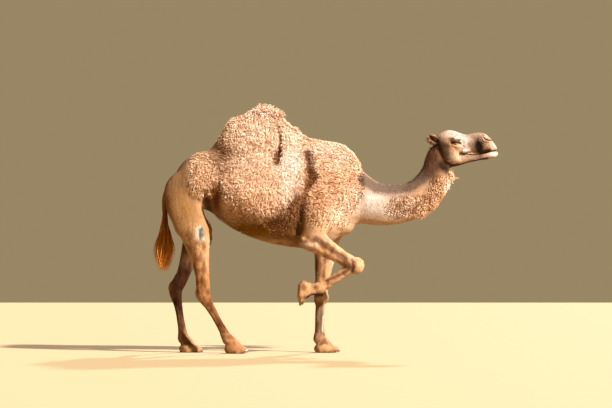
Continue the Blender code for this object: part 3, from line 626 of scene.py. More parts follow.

# %% [markdown]
# ## Markings, painted light and painted shade
#
# Skin and coat have to carry the same colours, or bare skin would show between the tufts. So one function
# gives the colour at any point, and both are painted from it, as a colour attribute on their points. The
# coat is a sandy brown. It is bleached on hump, barrel, shoulder and lower neck, grey-brown along the top
# of the neck, pale on the face, and red-brown on the tail and the hind legs. Light and shade are painted in
# too. There is painted shade behind the hump and the shoulder, in the parting, on belly, rump, flank and
# thigh, on muzzle, throat, cheek and upper neck, under the ear, the jaw and the lifted leg, and over the
# far hind leg. There are painted highlights on the front of the hump and barrel, on chest, throat, cheek,
# mouth corner and brow, and on the lit edges of some legs. Each mark is one soft brush mark over the ones
# before it, written as the colour that the sunlit coat shows, so a few go past 255. Curly wool shades
# itself.
# Smooth skin and short hair don't, so they take only a share of it.

# %% Markings, painted light and painted shade
SAND = (214, 160, 112)
MARKS_AND_PAINTED_LIGHT = [  # centre, radii, colour, strength, side
    ((-0.50, 1.50), (0.42, 0.46), (252, 206, 170), 0.95, 0),
    ((0.02, 1.40), (0.24, 0.36), (244, 188, 142), 0.9, 0),
    ((-0.60, 1.84), (0.20, 0.14), (256, 224, 200), 0.8, 0),
    ((-0.50, 1.98), (0.20, 0.05), (264, 230, 210), 0.85, 0),
    ((-0.58, 1.64), (0.15, 0.13), (264, 224, 198), 0.8, 0),
    ((-0.55, 1.22), (0.15, 0.07), (256, 206, 168), 0.7, 0),
    # painted highlight on the front of the barrel, which faces the lamp
    ((-0.30, 1.48), (0.085, 0.26), (276, 254, 244), 0.95, 0),
    ((0.07, 1.52), (0.20, 0.08), (252, 210, 176), 0.8, 0),
    ((0.0, 1.63), (0.22, 0.09), (266, 228, 206), 0.85, 0),
    # painted highlight on the lit slope of the hump beside the parting
    ((-0.28, 1.74), (0.07, 0.10), (270, 244, 222), 0.95, 0),
    # painted shade in the hollow behind the shoulder, on the lower front of the barrel and behind the hump
    ((-0.150, 1.42), (0.035, 0.10), (150, 100, 62), 0.75, 0),
    ((-0.240, 1.08), (0.070, 0.15), (130, 90, 54), 0.85, 0),
    ((-0.89, 1.63), (0.13, 0.13), (140, 100, 72), 1.0, 0),
    # painted highlight on the chest, which faces the lamp
    ((0.08, 1.10), (0.08, 0.08), (290, 264, 240), 0.9, 0),
    # painted shade on the rump, which faces away from the lamp
    ((-1.22, 1.44), (0.17, 0.25), (150, 108, 70), 1.0, 0),
    ((-1.01, 1.45), (0.09, 0.15), (248, 200, 156), 0.9, 0),
    # painted shade on the belly, the lower front of the barrel, the fold before the thigh and the thigh
    ((-0.62, 1.00), (0.46, 0.10), (150, 98, 20), 0.9, 0),
    ((-0.22, 1.00), (0.10, 0.14), (130, 84, 34), 0.9, 0),
    ((-0.90, 1.26), (0.07, 0.16), (112, 60, 8), 0.9, 0),
    ((-1.14, 1.12), (0.10, 0.18), (170, 118, 66), 0.9, 0),
    ((0.02, 1.00), (0.12, 0.10), (250, 204, 160), 0.8, -1),
    ((0.44, 1.22), (0.24, 0.12), (244, 222, 208), 0.95, 0),
    ((0.57, 1.23), (0.12, 0.09), (208, 168, 138), 0.8, 0),
    ((0.82, 1.34), (0.10, 0.10), (232, 186, 146), 0.8, 0),
    # painted highlight on the lit bump of the throat, then painted shadow of the jaw on the throat
    ((0.94, 1.43), (0.050, 0.04), (256, 196, 140), 0.95, 0),
    ((0.960, 1.525), (0.08, 0.060), (40, 22, 6), 1.0, 0),
    ((1.00, 1.375), (0.05, 0.060), (276, 250, 228), 0.95, 0),
    # painted shade on the upper neck behind the jaw
    ((0.850, 1.53), (0.07, 0.13), (64, 36, 18), 0.95, 0),
    ((1.06, 1.79), (0.12, 0.05), (256, 226, 208), 0.95, 0),
    # painted shade on the rear of the cheek, under the ear and on the throat below the jaw, then a painted
    # highlight on the middle of the cheek
    ((0.955, 1.65), (0.055, 0.09), (92, 64, 42), 0.95, 0),
    ((0.915, 1.70), (0.035, 0.055), (60, 38, 24), 1.0, 0),
    ((0.97, 1.590), (0.04, 0.035), (92, 62, 38), 0.8, 0),
    ((1.065, 1.600), (0.048, 0.050), (254, 216, 180), 0.95, 0),
    ((1.115, 1.73), (0.05, 0.05), (262, 238, 224), 0.95, 0),
    ((1.20, 1.77), (0.12, 0.03), (198, 166, 146), 0.85, 0),
    ((1.182, 1.700), (0.038, 0.050), (160, 136, 118), 0.9, 0),
    # painted shade over the side of the muzzle
    ((1.248, 1.690), (0.050, 0.074), (30, 17, 11), 1.0, 0),
    ((1.31, 1.765), (0.05, 0.030), (222, 188, 160), 0.9, 0),
    ((1.345, 1.70), (0.045, 0.035), (206, 172, 142), 0.85, 0),
    ((1.375, 1.69), (0.025, 0.04), (240, 222, 200), 0.9, 0),
    ((1.19, 1.604), (0.12, 0.022), (186, 154, 136), 0.9, 0),
    # painted highlight on the bump at the corner of the mouth
    ((1.132, 1.652), (0.028, 0.015), (280, 266, 252), 0.95, 0),
    ((1.38, 1.622), (0.05, 0.018), (274, 264, 246), 1.0, 0),
    ((0.20, 0.80), (0.20, 0.16), (236, 186, 140), 0.8, -1),
    ((0.255, 0.71), (0.028, 0.045), (232, 184, 140), 0.8, -1),
    # the pale sternal pad, painted brighter as a highlight where the light falls
    ((-0.14, 0.880), (0.055, 0.018), (268, 240, 214), 0.9, 0),
    # painted highlight on the lit front edge of the near hind leg
    ((-0.965, 0.88), (0.03, 0.12), (262, 216, 168), 0.8, -1),
    ((0.04, 0.80), (0.05, 0.16), (240, 192, 150), 0.85, 1),
    ((-0.215, 0.50), (0.03, 0.05), (240, 182, 134), 0.9, -1),
    ((-0.03, 0.46), (0.035, 0.05), (210, 176, 144), 0.8, 1),
    ((-0.08, 0.72), (0.05, 0.20), (150, 104, 68), 0.8, 1),
    ((-0.05, 0.25), (0.06, 0.16), (120, 92, 70), 0.9, 1),
    ((-1.02, 0.55), (0.07, 0.14), (164, 110, 56), 0.8, -1),
    ((-0.197, 0.921), (0.034, 0.030), (104, 62, 32), 0.95, -1),
    ((-0.197, 0.921), (0.017, 0.015), (250, 192, 140), 1.0, -1),
    ((-1.05, 0.92), (0.12, 0.20), (206, 156, 106), 0.8, -1),
    ((-0.90, 0.36), (0.14, 0.24), (150, 98, 58), 0.95, -1),
    ((-0.85, 0.24), (0.07, 0.12), (126, 78, 46), 0.8, -1),
    ((-0.76, 0.05), (0.12, 0.06), (180, 122, 78), 0.9, -1),
    ((-0.02, 0.04), (0.12, 0.05), (186, 134, 94), 0.9, 1),
    ((-0.18, 0.45), (0.10, 0.10), (196, 146, 100), 0.8, -1),
    # painted shade over the far hind leg
    ((-1.18, 0.50), (0.16, 0.42), (62, 30, 8), 0.95, 1),
    ((-1.33, 1.05), (0.06, 0.26), (122, 72, 10), 0.95, 0),
]
SHADES = [(0.30, 1.415), (0.39, 1.355), (0.53, 1.345), (0.66, 1.357), (0.775, 1.42), (0.83, 1.53)]
BANDS_AND_PAINTED_LIGHT = [  # path, width, colour, strength
    (SHADES, 0.055, (122, 98, 84), 0.95),
    # painted shade on the upper neck behind the head
    ([(0.83, 1.47), (0.845, 1.54), (0.88, 1.64)], 0.045, (100, 64, 42), 0.8),
    # painted shade on the underside of the lifted forearm and in the crease of its knee
    ([(-0.10, 0.93), (0.0, 0.865), (0.13, 0.765), (0.17, 0.70)], 0.026, (104, 64, 40), 0.75),
    ([(0.195, 0.76), (0.207, 0.70), (0.200, 0.66)], 0.011, (92, 56, 38), 0.85),
    ([(0.00, 0.592), (0.16, 0.668)], 0.012, (112, 72, 48), 0.8),
    # painted shade on the left edge of the far fore cannon, and painted shade under the lifted fetlock
    ([(-0.105, 0.42), (-0.10, 0.20)], 0.010, (120, 80, 54), 0.8),
    ([(-0.045, 0.478), (-0.11, 0.474), (-0.17, 0.452)], 0.016, (66, 38, 24), 0.9),
    # painted shade in the parting before the hump, and along the rear of the hind legs
    (PARTING, 0.018, (130, 84, 50), 0.9), (PARTING[2:], 0.034, (112, 70, 40), 0.9),
    ([(-1.125, 0.98), (-1.06, 0.75), (-1.065, 0.58)], 0.030, (140, 90, 48), 0.7),
    # painted shade over the lower front of the barrel, in the hollow and crease behind the shoulder, and in
    # the lower parting
    ([(-0.235, 1.21), (-0.29, 1.12), (-0.40, 1.03)], 0.095, (136, 92, 56), 0.9),
    ([(-0.155, 1.62), (-0.140, 1.50), (-0.095, 1.43), (-0.14, 1.36)], 0.036, (112, 70, 36), 0.9),
    ([(-0.14, 1.40), (-0.175, 1.32), (-0.200, 1.23)], 0.036, (150, 100, 58), 0.8),
    ([(-0.205, 1.20), (-0.225, 1.10), (-0.258, 0.99)], 0.020, (92, 56, 30), 0.85),
    ([(-0.405, 1.62), (-0.417, 1.565)], 0.042, (128, 82, 50), 0.9),
    # painted highlight along the lit edge of the far fore cannon
    ([(-0.02, 0.42), (-0.035, 0.18)], 0.012, (250, 214, 178), 0.8),
    # painted shadow under the ear, and painted shade in the fold before the near thigh
    ([(0.840, 1.715), (0.870, 1.685), (0.925, 1.672)], 0.018, (64, 38, 22), 0.95),
    ([(-0.985, 1.26), (-0.962, 1.13)], 0.030, (96, 54, 24), 0.9),
    # painted shade under the jaw
    ([(0.96, 1.56), (1.02, 1.535), (1.09, 1.540), (1.20, 1.565), (1.31, 1.590)], 0.013, (78, 40, 2), 0.95),
    # the mouth line, with painted shade under the overhanging upper lip in front
    (MOUTH, 0.0055, (70, 50, 40), 0.95), ([(1.25, 1.640), (1.33, 1.657)], 0.016, (64, 42, 30), 0.9),
    # the nostril slit, and the eye slit partly widened by painted shadow of the brow
    (NOSTRIL, 0.005, (76, 56, 46), 0.9), (EYE_LINE, 0.0100, (40, 26, 20), 0.97),
    # painted shade behind the brow, then a painted highlight on the brow over the eye
    ([(1.018, 1.750), (1.020, 1.730)], 0.007, (120, 84, 62), 0.6),
    ([(1.045, 1.758), (1.072, 1.756)], 0.016, (280, 250, 226), 0.9),
]
LIT_SHARE = 0.50
PALEST = 0.90
LEG_BLOTCHES, LEGS_BELOW = np.array([0.50, 0.62, 0.70]), (1.02, 0.88)
NECK_BLOTCHES, LOWER_NECK = np.array([0.30, 0.44, 0.55]), ((0.80, 1.22), (0.26, 0.16))
FACE_BLOTCHES = np.array([0.26, 0.33, 0.38])
STERNAL_PAD = ((-0.10, 0.945), (0.14, 0.035), (240, 212, 176))
# the dark rim of the lids, and painted shade for the rear of each ear's hollow
LID_RIM, EAR_HOLLOW_SHADE = (52, 36, 28), (44, 28, 20)
DAUB_RING = ((-1.036, 0.958), (0.050, 0.076), (222, 208, 186))
DAUB = ((-1.022, 0.972), (0.026, 0.054), (30, 72, 74))


def linear(colour):
    """A colour as painters name it, 0 to 255, turned into the amounts of light that a material takes."""
    share = np.asarray(colour, float) / 255
    return np.where(share <= 0.04045, share / 12.92, ((share + 0.055) / 1.055) ** 2.4)


def painted(below, colour, strength):
    return below + (linear(colour) - below) * np.clip(strength, 0, 1)[:, None]


def coat_colour_and_light(points):
    """The coat's colour at each point, with its painted light and shade, without the variation from tuft to
    tuft.
    """
    blur = points + 0.02 * drift(points, 0.07, 11)
    colour = np.tile(linear(SAND), (len(points), 1))
    for centre, radii, tint, strength, side in MARKS_AND_PAINTED_LIGHT:
        colour = painted(colour, tint, 1.25 * spot(blur, centre, radii, side) * strength)
    for path, width, tint, strength in BANDS_AND_PAINTED_LIGHT:
        colour = painted(colour, tint, ramp(stroke(points, path, width), 0.10, 0.80) * strength)
    pad = spot(points, *STERNAL_PAD[:2]) * ramp(np.abs(points[:, 1]), 0.14, 0.08)
    colour = painted(colour, STERNAL_PAD[2], 1.2 * pad)
    for (centre, radii, tint), edge in ((DAUB_RING, 0.5), (DAUB, 0.55)):
        inside = spot(points, centre, radii, -1) + 0.20 * wander(points, 0.022, 14)
        daubed = ramp(inside, edge - 0.12, edge + 0.08) * (points[:, 1] < -0.05)
        colour = painted(colour, tint, 0.85 * daubed)
    legs = ramp(points[:, 2], *LEGS_BELOW)[:, None]
    dark = ramp(wander(points * (1, 1, 0.6), 0.027, 17), -0.1, 0.6)[:, None]
    colour = colour * (1 + 0.12 * legs - LEG_BLOTCHES * (dark * legs))
    dark = ramp(wander(points, 0.042, 18), -0.1, 0.5) * spot(points, *LOWER_NECK)
    colour = colour * (1 - NECK_BLOTCHES * dark[:, None])
    dark = ramp(wander(points, 0.019, 19), 0.0, 0.6) * ramp(points[:, 0], 0.93, 0.98) * (points[:, 2] > 1.5)
    colour = colour * (1 - FACE_BLOTCHES * dark[:, None])
    return colour * (1 + 0.10 * wander(points, 0.16, 15) + 0.06 * wander(points, 0.035, 16))[:, None]


def paint(obj, colours):
    """Stores one colour for each point as the attribute that the materials read."""
    colours = colours * np.minimum(1, PALEST / colours.max(axis=1, keepdims=True))
    tint = obj.data.color_attributes.new("tint", "FLOAT_COLOR", "POINT")
    opaque = np.column_stack([colours, np.ones(len(colours))])
    tint.data.foreach_set("color", opaque.astype(np.float32).ravel())


skin_points = points_of(skin)
skin_colour = coat_colour_and_light(skin_points) * LIT_SHARE * (1 + 0.3 * woolly(skin_points))[:, None]
skin_colour = painted(skin_colour, LID_RIM, ramp(beside_eye(skin_points), 0.0245, 0.0215))
# painted shade in the rear half of each ear's hollow
rear = ramp(skin_points[:, 0], 0.895, 0.865)
for side in (-1, 1):
    deep = ramp(in_ear(skin_points, side)[1], 0.10, 0.4)
    skin_colour = painted(skin_colour, EAR_HOLLOW_SHADE, 0.95 * rear * deep)
paint(skin, skin_colour)
print("marks:", len(MARKS_AND_PAINTED_LIGHT), "bands:", len(BANDS_AND_PAINTED_LIGHT))

# %% [markdown]
# ## Materials of the coat
#
# Short hair that lies flat is too fine to model one by one, so the skin's material breaks its colour up
# with streaks and gives it a matching bump. The streaks run down on body and legs and back on the head and
# neck: two stretched noise patterns, mixed by an attribute that says which way the coat lies. The tufts
# have a softer material of their own with the same streaks, only finer. Hair scatters light at grazing
# angles, so both get some sheen.

# %% Coat materials


def new_material(name, roughness, **sockets):
    """A material and its Principled shader, with these plain values on it."""
    material = bpy.data.materials.new(name)
    material.use_nodes = True
    shader = material.node_tree.nodes["Principled BSDF"]
    shader.inputs["Roughness"].default_value = roughness
    for socket, value in sockets.items():
        shader.inputs[socket.replace("_", " ")].default_value = value
    return material, shader


def add_node(material, kind, values=(), **links):
    """Adds a node, sets its plain inputs and links the others. Names use _ where the input has a space."""
    node = material.node_tree.nodes.new(kind)
    for name, value in dict(values).items():
        if name in node.inputs:
            node.inputs[name].default_value = value
        else:
            setattr(node, name, value)
    for name, source in links.items():
        target = node.inputs[int(name[1:])] if name[1:].isdigit() else node.inputs[name.replace("_", " ")]
        material.node_tree.links.new(source, target)
    return node


def streaks(material, stretch, scale):
    """Noise drawn out along one axis, from the object's own coordinates."""
    place = add_node(material, "ShaderNodeTexCoord").outputs["Object"]
    turned = add_node(material, "ShaderNodeMapping", {"Scale": stretch}, Vector=place)
    return add_node(material, "ShaderNodeTexNoise", {"Scale": scale, "Detail": 4.0, "Roughness": 0.6},
                    Vector=turned.outputs["Vector"]).outputs["Fac"]


def hair_material(name, scale, contrast, bump, roughness):
    """Painted colour broken up by streaks along the coat, with a bump to match."""
    material, shader = new_material(name, roughness, Sheen_Weight=0.02, Specular_IOR_Level=0.05)
    tint = add_node(material, "ShaderNodeAttribute", {"attribute_name": "tint"})
    flow = add_node(material, "ShaderNodeAttribute", {"attribute_name": "flow"})
    down, back = streaks(material, (1, 1, 0.14), scale), streaks(material, (0.14, 1, 1), scale)
    mixed = add_node(material, "ShaderNodeMix", {}, _0=flow.outputs["Fac"], _2=down, _3=back).outputs[0]
    ends = {"From Min": 0.30, "From Max": 0.70, "To Min": 1 - contrast, "To Max": 1 + contrast}
    shade = add_node(material, "ShaderNodeMapRange", ends, Value=mixed)
    scaled = add_node(material, "ShaderNodeVectorMath", {"operation": "SCALE"},
                      Vector=tint.outputs["Color"], Scale=shade.outputs["Result"])
    broad = streaks(material, (1, 1, 0.30), scale * 0.16)
    waves = add_node(material, "ShaderNodeBump", {"Strength": bump, "Distance": 0.012}, Height=broad)
    relief = add_node(material, "ShaderNodeBump", {"Strength": bump, "Distance": 0.003}, Height=mixed,
                      Normal=waves.outputs["Normal"])
    links = material.node_tree.links
    links.new(scaled.outputs["Vector"], shader.inputs["Base Color"])
    links.new(relief.outputs["Normal"], shader.inputs["Normal"])
    return material


def store_flow(obj, lie):
    """Stores how far the coat lies forwards or back, not down, at each point."""
    flow = obj.data.attributes.new("flow", "FLOAT", "POINT")
    flow.data.foreach_set("value", ramp(np.abs(lie[:, 0]), 0.45, 0.80).astype(np.float32))


skin_hair = hair_material("short_hair", 260.0, 0.22, 0.55, 0.72)
tuft_hair = hair_material("tuft_hair", 420.0, 0.16, 0.30, 0.80)
skin.data.materials.append(skin_hair)
skin_lie = lie_of(skin_points, normals_of(skin))
store_flow(skin, skin_lie)
skin.data.shade_smooth()
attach(skin, "root")
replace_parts(skin, *FLESH)
print("materials:", skin_hair.name, tuft_hair.name)

# %% [markdown]
# ## Roots of the coat
#
# Every tuft starts from a root on the skin. Roots are dealt out evenly over the skin's area, more of them
# where the wool is thick. Each root also has a place on a flat pattern of the skin, as a furrier would cut
# it, so that a tuft's colours can later be baked beside those of its neighbours. The pattern is cut from a
# coarse copy of the skin, because an unwrap needs only its shape.

# %% Roots and the furrier's pattern
PATTERN_SHARE = 0.06
PATCH = 0.003


def furrier_pattern():
    """An unwrapped coarse copy of the skin: a search tree, its corners and their places on the pattern."""
    coarse = bpy.data.objects.new("pattern", skin.data.copy())
    bpy.context.scene.collection.objects.link(coarse)
    modified(coarse, "DECIMATE", ratio=PATTERN_SHARE)
    only(coarse)
    bpy.ops.object.mode_set(mode="EDIT")
    bpy.ops.mesh.select_all(action="SELECT")
    bpy.ops.uv.smart_project(angle_limit=math.radians(66), island_margin=0.002)
    bpy.ops.object.mode_set(mode="OBJECT")
    mesh = coarse.data
    mesh.calc_loop_triangles()
    loops = np.array([triangle.loops[:] for triangle in mesh.loop_triangles])
    corners = np.array([triangle.vertices[:] for triangle in mesh.loop_triangles])
    flat = np.empty(len(mesh.loops) * 2, np.float32)
    mesh.uv_layers.active.data.foreach_get("uv", flat)
    points = points_of(coarse)
    tree = BVHTree.FromPolygons(points.tolist(), corners.tolist())
    bpy.data.objects.remove(coarse)
    return tree, points[corners], flat.reshape(-1, 2)[loops]


pattern_tree, pattern_corners, pattern_places = furrier_pattern()


def pattern_place(points):
    """Where each point lies on the flat pattern."""
    faces = np.array([pattern_tree.find_nearest(Vector(point))[2] for point in points])
    first, second, third = np.moveaxis(pattern_corners[faces], 1, 0)
    one, two, gap = second - first, third - first, points - first
    a, b, c = (one * one).sum(1), (one * two).sum(1), (two * two).sum(1)
    d, e = (gap * one).sum(1), (gap * two).sum(1)
    scale = np.maximum(a * c - b * b, 1e-18)
    v, w = np.clip((c * d - b * e) / scale, 0, 1), np.clip((a * e - b * d) / scale, 0, 1)
    shares = np.stack([np.clip(1 - v - w, 0, 1), v, w], axis=1)
    return (pattern_places[faces] * (shares / shares.sum(1, keepdims=True))[:, :, None]).sum(1)


skin.data.calc_loop_triangles()
skin_corners = np.empty(len(skin.data.loop_triangles) * 3, np.int32)
skin.data.loop_triangles.foreach_get("vertices", skin_corners)
skin_corners = skin_corners.reshape(-1, 3)
skin_points, skin_normals = points_of(skin), normals_of(skin)
corner_points = skin_points[skin_corners]
face_middles = corner_points.mean(axis=1)
face_areas = np.linalg.norm(np.cross(corner_points[:, 1] - corner_points[:, 0],
                                     corner_points[:, 2] - corner_points[:, 0]), axis=1) / 2


def roots_where(share, spacing):
    """Roots about this far apart where share is 1 on the skin's faces, and fewer where it is less."""
    wanted = face_areas * share / spacing**2
    order = np.lexsort((np.floor(face_middles[:, 0] / 0.04), np.floor(face_middles[:, 2] / 0.04)))
    total = np.cumsum(wanted[order])
    picks = np.arange(int(total[-1])) + chance.random(int(total[-1]))
    faces = order[np.searchsorted(total, np.clip(picks, 0, total[-1] - 1e-6))]
    a, b = np.sqrt(chance.random(len(faces))), chance.random(len(faces))
    shares = np.stack([1 - a, a * (1 - b), a * b], axis=1)[:, :, None]
    corners = skin_corners[faces]
    return (skin_points[corners] * shares).sum(1), unit((skin_normals[corners] * shares).sum(1))


print("pattern faces:", len(pattern_corners), "skin area:", round(face_areas.sum(), 2), "m2")

# %% [markdown]
# ## Growing tufts
#
# A tuft is a small solid horn with three sides: a few rings along a curved line, each narrower than the
# last, and a point. One function grows any number at once as a single mesh, from arrays that say where each
# starts, how long and wide it is, how far it stands out and how it curls. One edge of the horn is on top,
# as a ridge that catches the light. Wool hooks over at its tip and swings from side to side, and short hair
# only leans. It lies so flat that its own facets would look like scales, so its shading follows the skin
# below. Tufts near each other lean to a shared middle, which parts a fleece into the small locks that it
# really has.

# %% Growing tufts
SIDES = 3
SIDEWAYS = 0.35


def clumps(points, size):
    """From each point to the nearest of some middles about this far apart, and which one that is."""
    firsts = np.unique(np.floor(points / size), axis=0, return_index=True)[1]
    middles = KDTree(len(firsts))
    for index, first in enumerate(firsts):
        middles.insert(points[first], index)
    middles.balance()
    nearest = np.array([middles.find(point)[1] for point in points])
    return points[firsts[nearest]] - points, nearest


def tuft_faces(rings):
    """The corners of one horn's faces in turn, and how many each face has: base, sides, then the point."""
    faces = [[2, 1, 0]]
    for ring in range(rings - 1):
        for corner in range(SIDES):
            low, high = ring * SIDES + corner, ring * SIDES + (corner + 1) % SIDES
            faces.append([low, high, high + SIDES, low + SIDES])
    last = (rings - 1) * SIDES
    faces += [[last + corner, last + (corner + 1) % SIDES, rings * SIDES] for corner in range(SIDES)]
    return np.array([corner for face in faces for corner in face]), np.array([len(face) for face in faces])


def horns(roots, normals, lies, length, width, lift, curl, rings, thin, hook, fold):
    """The points of every horn, ring by ring and then its tip, and the way the skin below them faces."""
    count = len(roots)
    length, width, lift, curl, hook = (np.broadcast_to(np.asarray(v, float), count)[:, None]
                                       for v in (length, width, lift, curl, hook))
    across = unit(np.cross(normals, lies))
    phase, turns = chance.random((count, 1)) * 2 * np.pi, 0.7 + 0.7 * chance.random((count, 1))
    points = np.empty((count, rings * SIDES + 1, 3))
    shading = np.repeat((normals + 0.4 * lies)[:, None], rings * SIDES + 1, axis=1)
    for ring in range(rings + 1):
        s = ring / rings
        swing = np.sin(2 * np.pi * turns * s + phase) - np.sin(phase)
        rise = lift * np.sin(np.pi * 0.5 * s * (1 + 0.7 * hook))
        run = s * (1 - fold * hook * s * s)
        centre = roots + lies * length * run + normals * (length * rise - width * 1.1 * (ring == 0))
        centre = centre + across * length * curl * swing * s
        if ring == rings:
            points[:, -1] = centre
            continue
        girth = width * 0.5 * (1 - s) ** 0.55 * (0.75 + 0.5 * np.sin(np.pi * min(s * 1.3, 1)))
        for corner in range(SIDES):
            angle = 2 * np.pi * corner / SIDES + np.pi / 2
            points[:, ring * SIDES + corner] = (centre + across * girth * math.cos(angle)
                                                + normals * girth * thin * math.sin(angle))
            shading[:, ring * SIDES + corner] = normals + SIDEWAYS * across * math.cos(angle)
    return points, unit(shading.reshape(-1, 3))


def horn_mesh(name, points, roots, rings):
    """One mesh of all the horns, each with a small patch at its root's place on the furrier's pattern."""
    faces, sizes = tuft_faces(rings)
    corners = (faces[None] + (np.arange(len(points)) * (rings * SIDES + 1))[:, None]).ravel()
    mesh = bpy.data.meshes.new(name)
    mesh.vertices.add(points.shape[0] * points.shape[1])
    mesh.vertices.foreach_set("co", points.astype(np.float32).ravel())
    mesh.loops.add(len(corners))
    mesh.loops.foreach_set("vertex_index", corners.astype(np.int32))
    all_sizes = np.tile(sizes, len(points))
    mesh.polygons.add(len(all_sizes))
    starts = np.concatenate([[0], np.cumsum(all_sizes)[:-1]])
    mesh.polygons.foreach_set("loop_start", starts.astype(np.int32))
    mesh.update(calc_edges=True)
    around = np.append(np.tile(np.arange(SIDES) / (SIDES - 1) - 0.5, rings), 0.0)
    patch = PATCH * np.stack([around, up_horn(rings) - 0.5], axis=1)
    flat = pattern_place(roots)[:, None] + patch[None]
    bake_places = flat.reshape(-1, 2)[corners].astype(np.float32).ravel()
    mesh.uv_layers.new(name="OFBake").data.foreach_set("uv", bake_places)
    return mesh


def up_horn(rings):
    """How far up its horn each point is, from 0 at the root to 1 at the tip."""
    return np.append(np.repeat(np.arange(rings) / rings, SIDES), 1.0)


def grow(name, roots, normals, lies, length, width, lift, curl, colours, tips, rings=3, thin=0.5, hook=0.0,
         fold=0.35, slot="coat", blend_in=False):
    """Grows a closed horn from each root, as one mesh. Lengths are in metres, lift and curl in lengths."""
    points, shading = horns(roots, normals, lies, length, width, lift, curl, rings, thin, hook, fold)
    mesh = horn_mesh(name, points, roots, rings)
    tuft = bpy.data.objects.new(name, mesh)
    bpy.context.scene.collection.objects.link(tuft)
    blend = (up_horn(rings) ** 1.2)[None, :, None]
    paint(tuft, (colours[:, None] * (1 - blend) + tips[:, None] * blend).reshape(-1, 3))
    store_flow(tuft, np.repeat(lies, rings * SIDES + 1, axis=0))
    mesh.materials.append(tuft_hair)
    mesh.shade_smooth()
    if blend_in:
        mesh.normals_split_custom_set_from_vertices(shading)
    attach(tuft, "root")
    count = len(roots)
    print(f"{name}: {count} tufts, {count * (2 * SIDES * (rings - 1) + SIDES + 1)} triangles")
    return tuft


print("faces in a short tuft:", len(tuft_faces(2)[1]), "and in a lock of wool:", len(tuft_faces(4)[1]))

# %% [markdown]
# ## The wool
#
# The fleece is short locks about three centimetres long that curl over at the tip, pale where the sun has
# bleached them and darker near the root. Locks are grown for hump, barrel, shoulders and hips in turn. On
# the front of the hump's ridge they are longer and stand up, as a ragged crest, and a few wisps stand on
# the slope before it. Neighbours lean to the middle of their clump. The middle gets a painted highlight and
# the rim painted shade, which gives the mottled look of a fleece from far off.

# %% Wool
LOCK_SPACING = 0.0082
LOCK_LENGTH, LOCK_WIDTH = 0.030, 0.0072
CLUMP = 0.033
TIP_GLOW, ROOT_SHADE = 1.16, 0.70
BLEACH = (255, 240, 220)
# painted highlight in the middle of a clump, painted shade at its rim, and how much deeper the shade's
# colours get
HEART, RIM = 1.13, 0.70
DEEPEN = np.array([0.75, 1.05, 1.45])
CREST = [(-0.54, 2.00), (-0.46, 2.00), (-0.40, 1.98)]
WISPS = [(-0.33, 1.88), (-0.26, 1.83), (-0.19, 1.79)]
CREST_WIDTH, WISP_WIDTH, CREST_EXTRA = 0.045, 0.035, 0.9
SWIRL, TO_CLUMP, STRAY = 0.38, 15, 0.25
CLUMP_TONES, PATCH_TONES, LOCK_TONES = 0.13, 0.12, 0.06
WOOL_LIFT, WOOL_CURL, WOOL_HOOK = 0.42, 0.26, 0.95

bare = np.clip(1 - 1.1 * stroke(face_middles, PARTING, 0.021) * (np.abs(face_middles[:, 1]) > 0.03), 0, 1)
wool_roots, wool_normals = roots_where(woolly(face_middles) ** 1.3 * bare, LOCK_SPACING)
crest = stroke(wool_roots, CREST, CREST_WIDTH) * ramp(wool_normals[:, 2], 0.1, 0.5)
wisps = stroke(wool_roots, WISPS, WISP_WIDTH) * ramp(np.abs(wool_roots[:, 1]), 0.06, 0.02)
crest = np.maximum(crest, 0.6 * wisps)
wool_lies = lie_of(wool_roots, wool_normals)
pull, clump = clumps(wool_roots, CLUMP)
pull = flattened(pull, wool_normals)
to_rim = ramp(np.linalg.norm(pull, axis=1) / CLUMP, 0.12, 0.62)
stray = STRAY * chance.normal(size=wool_roots.shape)
wool_lies = unit(wool_lies + SWIRL * drift(wool_roots, 0.05, 31) + pull * TO_CLUMP + stray)
wool_lies = unit(flattened(wool_lies, wool_normals))
of_clump = chance.normal(size=clump.max() + 1)[clump]
shade = 1 + CLUMP_TONES * of_clump + PATCH_TONES * wander(wool_roots, 0.055, 35)
shade += LOCK_TONES * chance.normal(size=len(wool_roots))
# painted highlight in each clump's middle and painted shade at its rim, deeper in colour where darker
shade = np.clip(shade * (HEART + (RIM - HEART) * to_rim), 0.3, 1.5)[:, None] ** DEEPEN
wool_colours = coat_colour_and_light(wool_roots)
root_colours = wool_colours * np.array([1.0, 0.86, 0.70]) * ROOT_SHADE * shade
bleached = 0.5 * ramp(wool_colours[:, 1], 0.12, 0.50)
tip_colours = painted(wool_colours * TIP_GLOW, BLEACH, bleached) * shade
wool_length = LOCK_LENGTH * (0.75 + 0.5 * chance.random(len(wool_roots))) * (0.6 + 0.4 * woolly(wool_roots))
wool_length *= 1 + CREST_EXTRA * crest
wool_lift = WOOL_LIFT + 0.18 * chance.random(len(wool_roots)) + 0.55 * crest
wool_width = LOCK_WIDTH * (0.7 + 0.8 * chance.random(len(wool_roots)) ** 2)
WOOL_PIECES = {
    "hump_wool": wool_roots[:, 2] > 1.68,
    "hip_wool": (wool_roots[:, 0] < -0.86) & (wool_roots[:, 2] <= 1.68),
    "shoulder_wool": (wool_roots[:, 0] > -0.20) & (wool_roots[:, 2] <= 1.68),
}
WOOL_PIECES["barrel_wool"] = ~np.any(list(WOOL_PIECES.values()), axis=0)


def wool_piece(name, mine):
    grow(name, wool_roots[mine], wool_normals[mine], wool_lies[mine], wool_length[mine], wool_width[mine],
         wool_lift[mine], WOOL_CURL, root_colours[mine], tip_colours[mine], rings=5, thin=0.6,
         hook=(WOOL_HOOK - 0.6 * crest)[mine])


for name, mine in WOOL_PIECES.items():
    for side, chosen in (("right", wool_roots[:, 1] <= 0), ("left", wool_roots[:, 1] > 0)):
        wool_piece(f"{name}_{side}", mine & chosen)

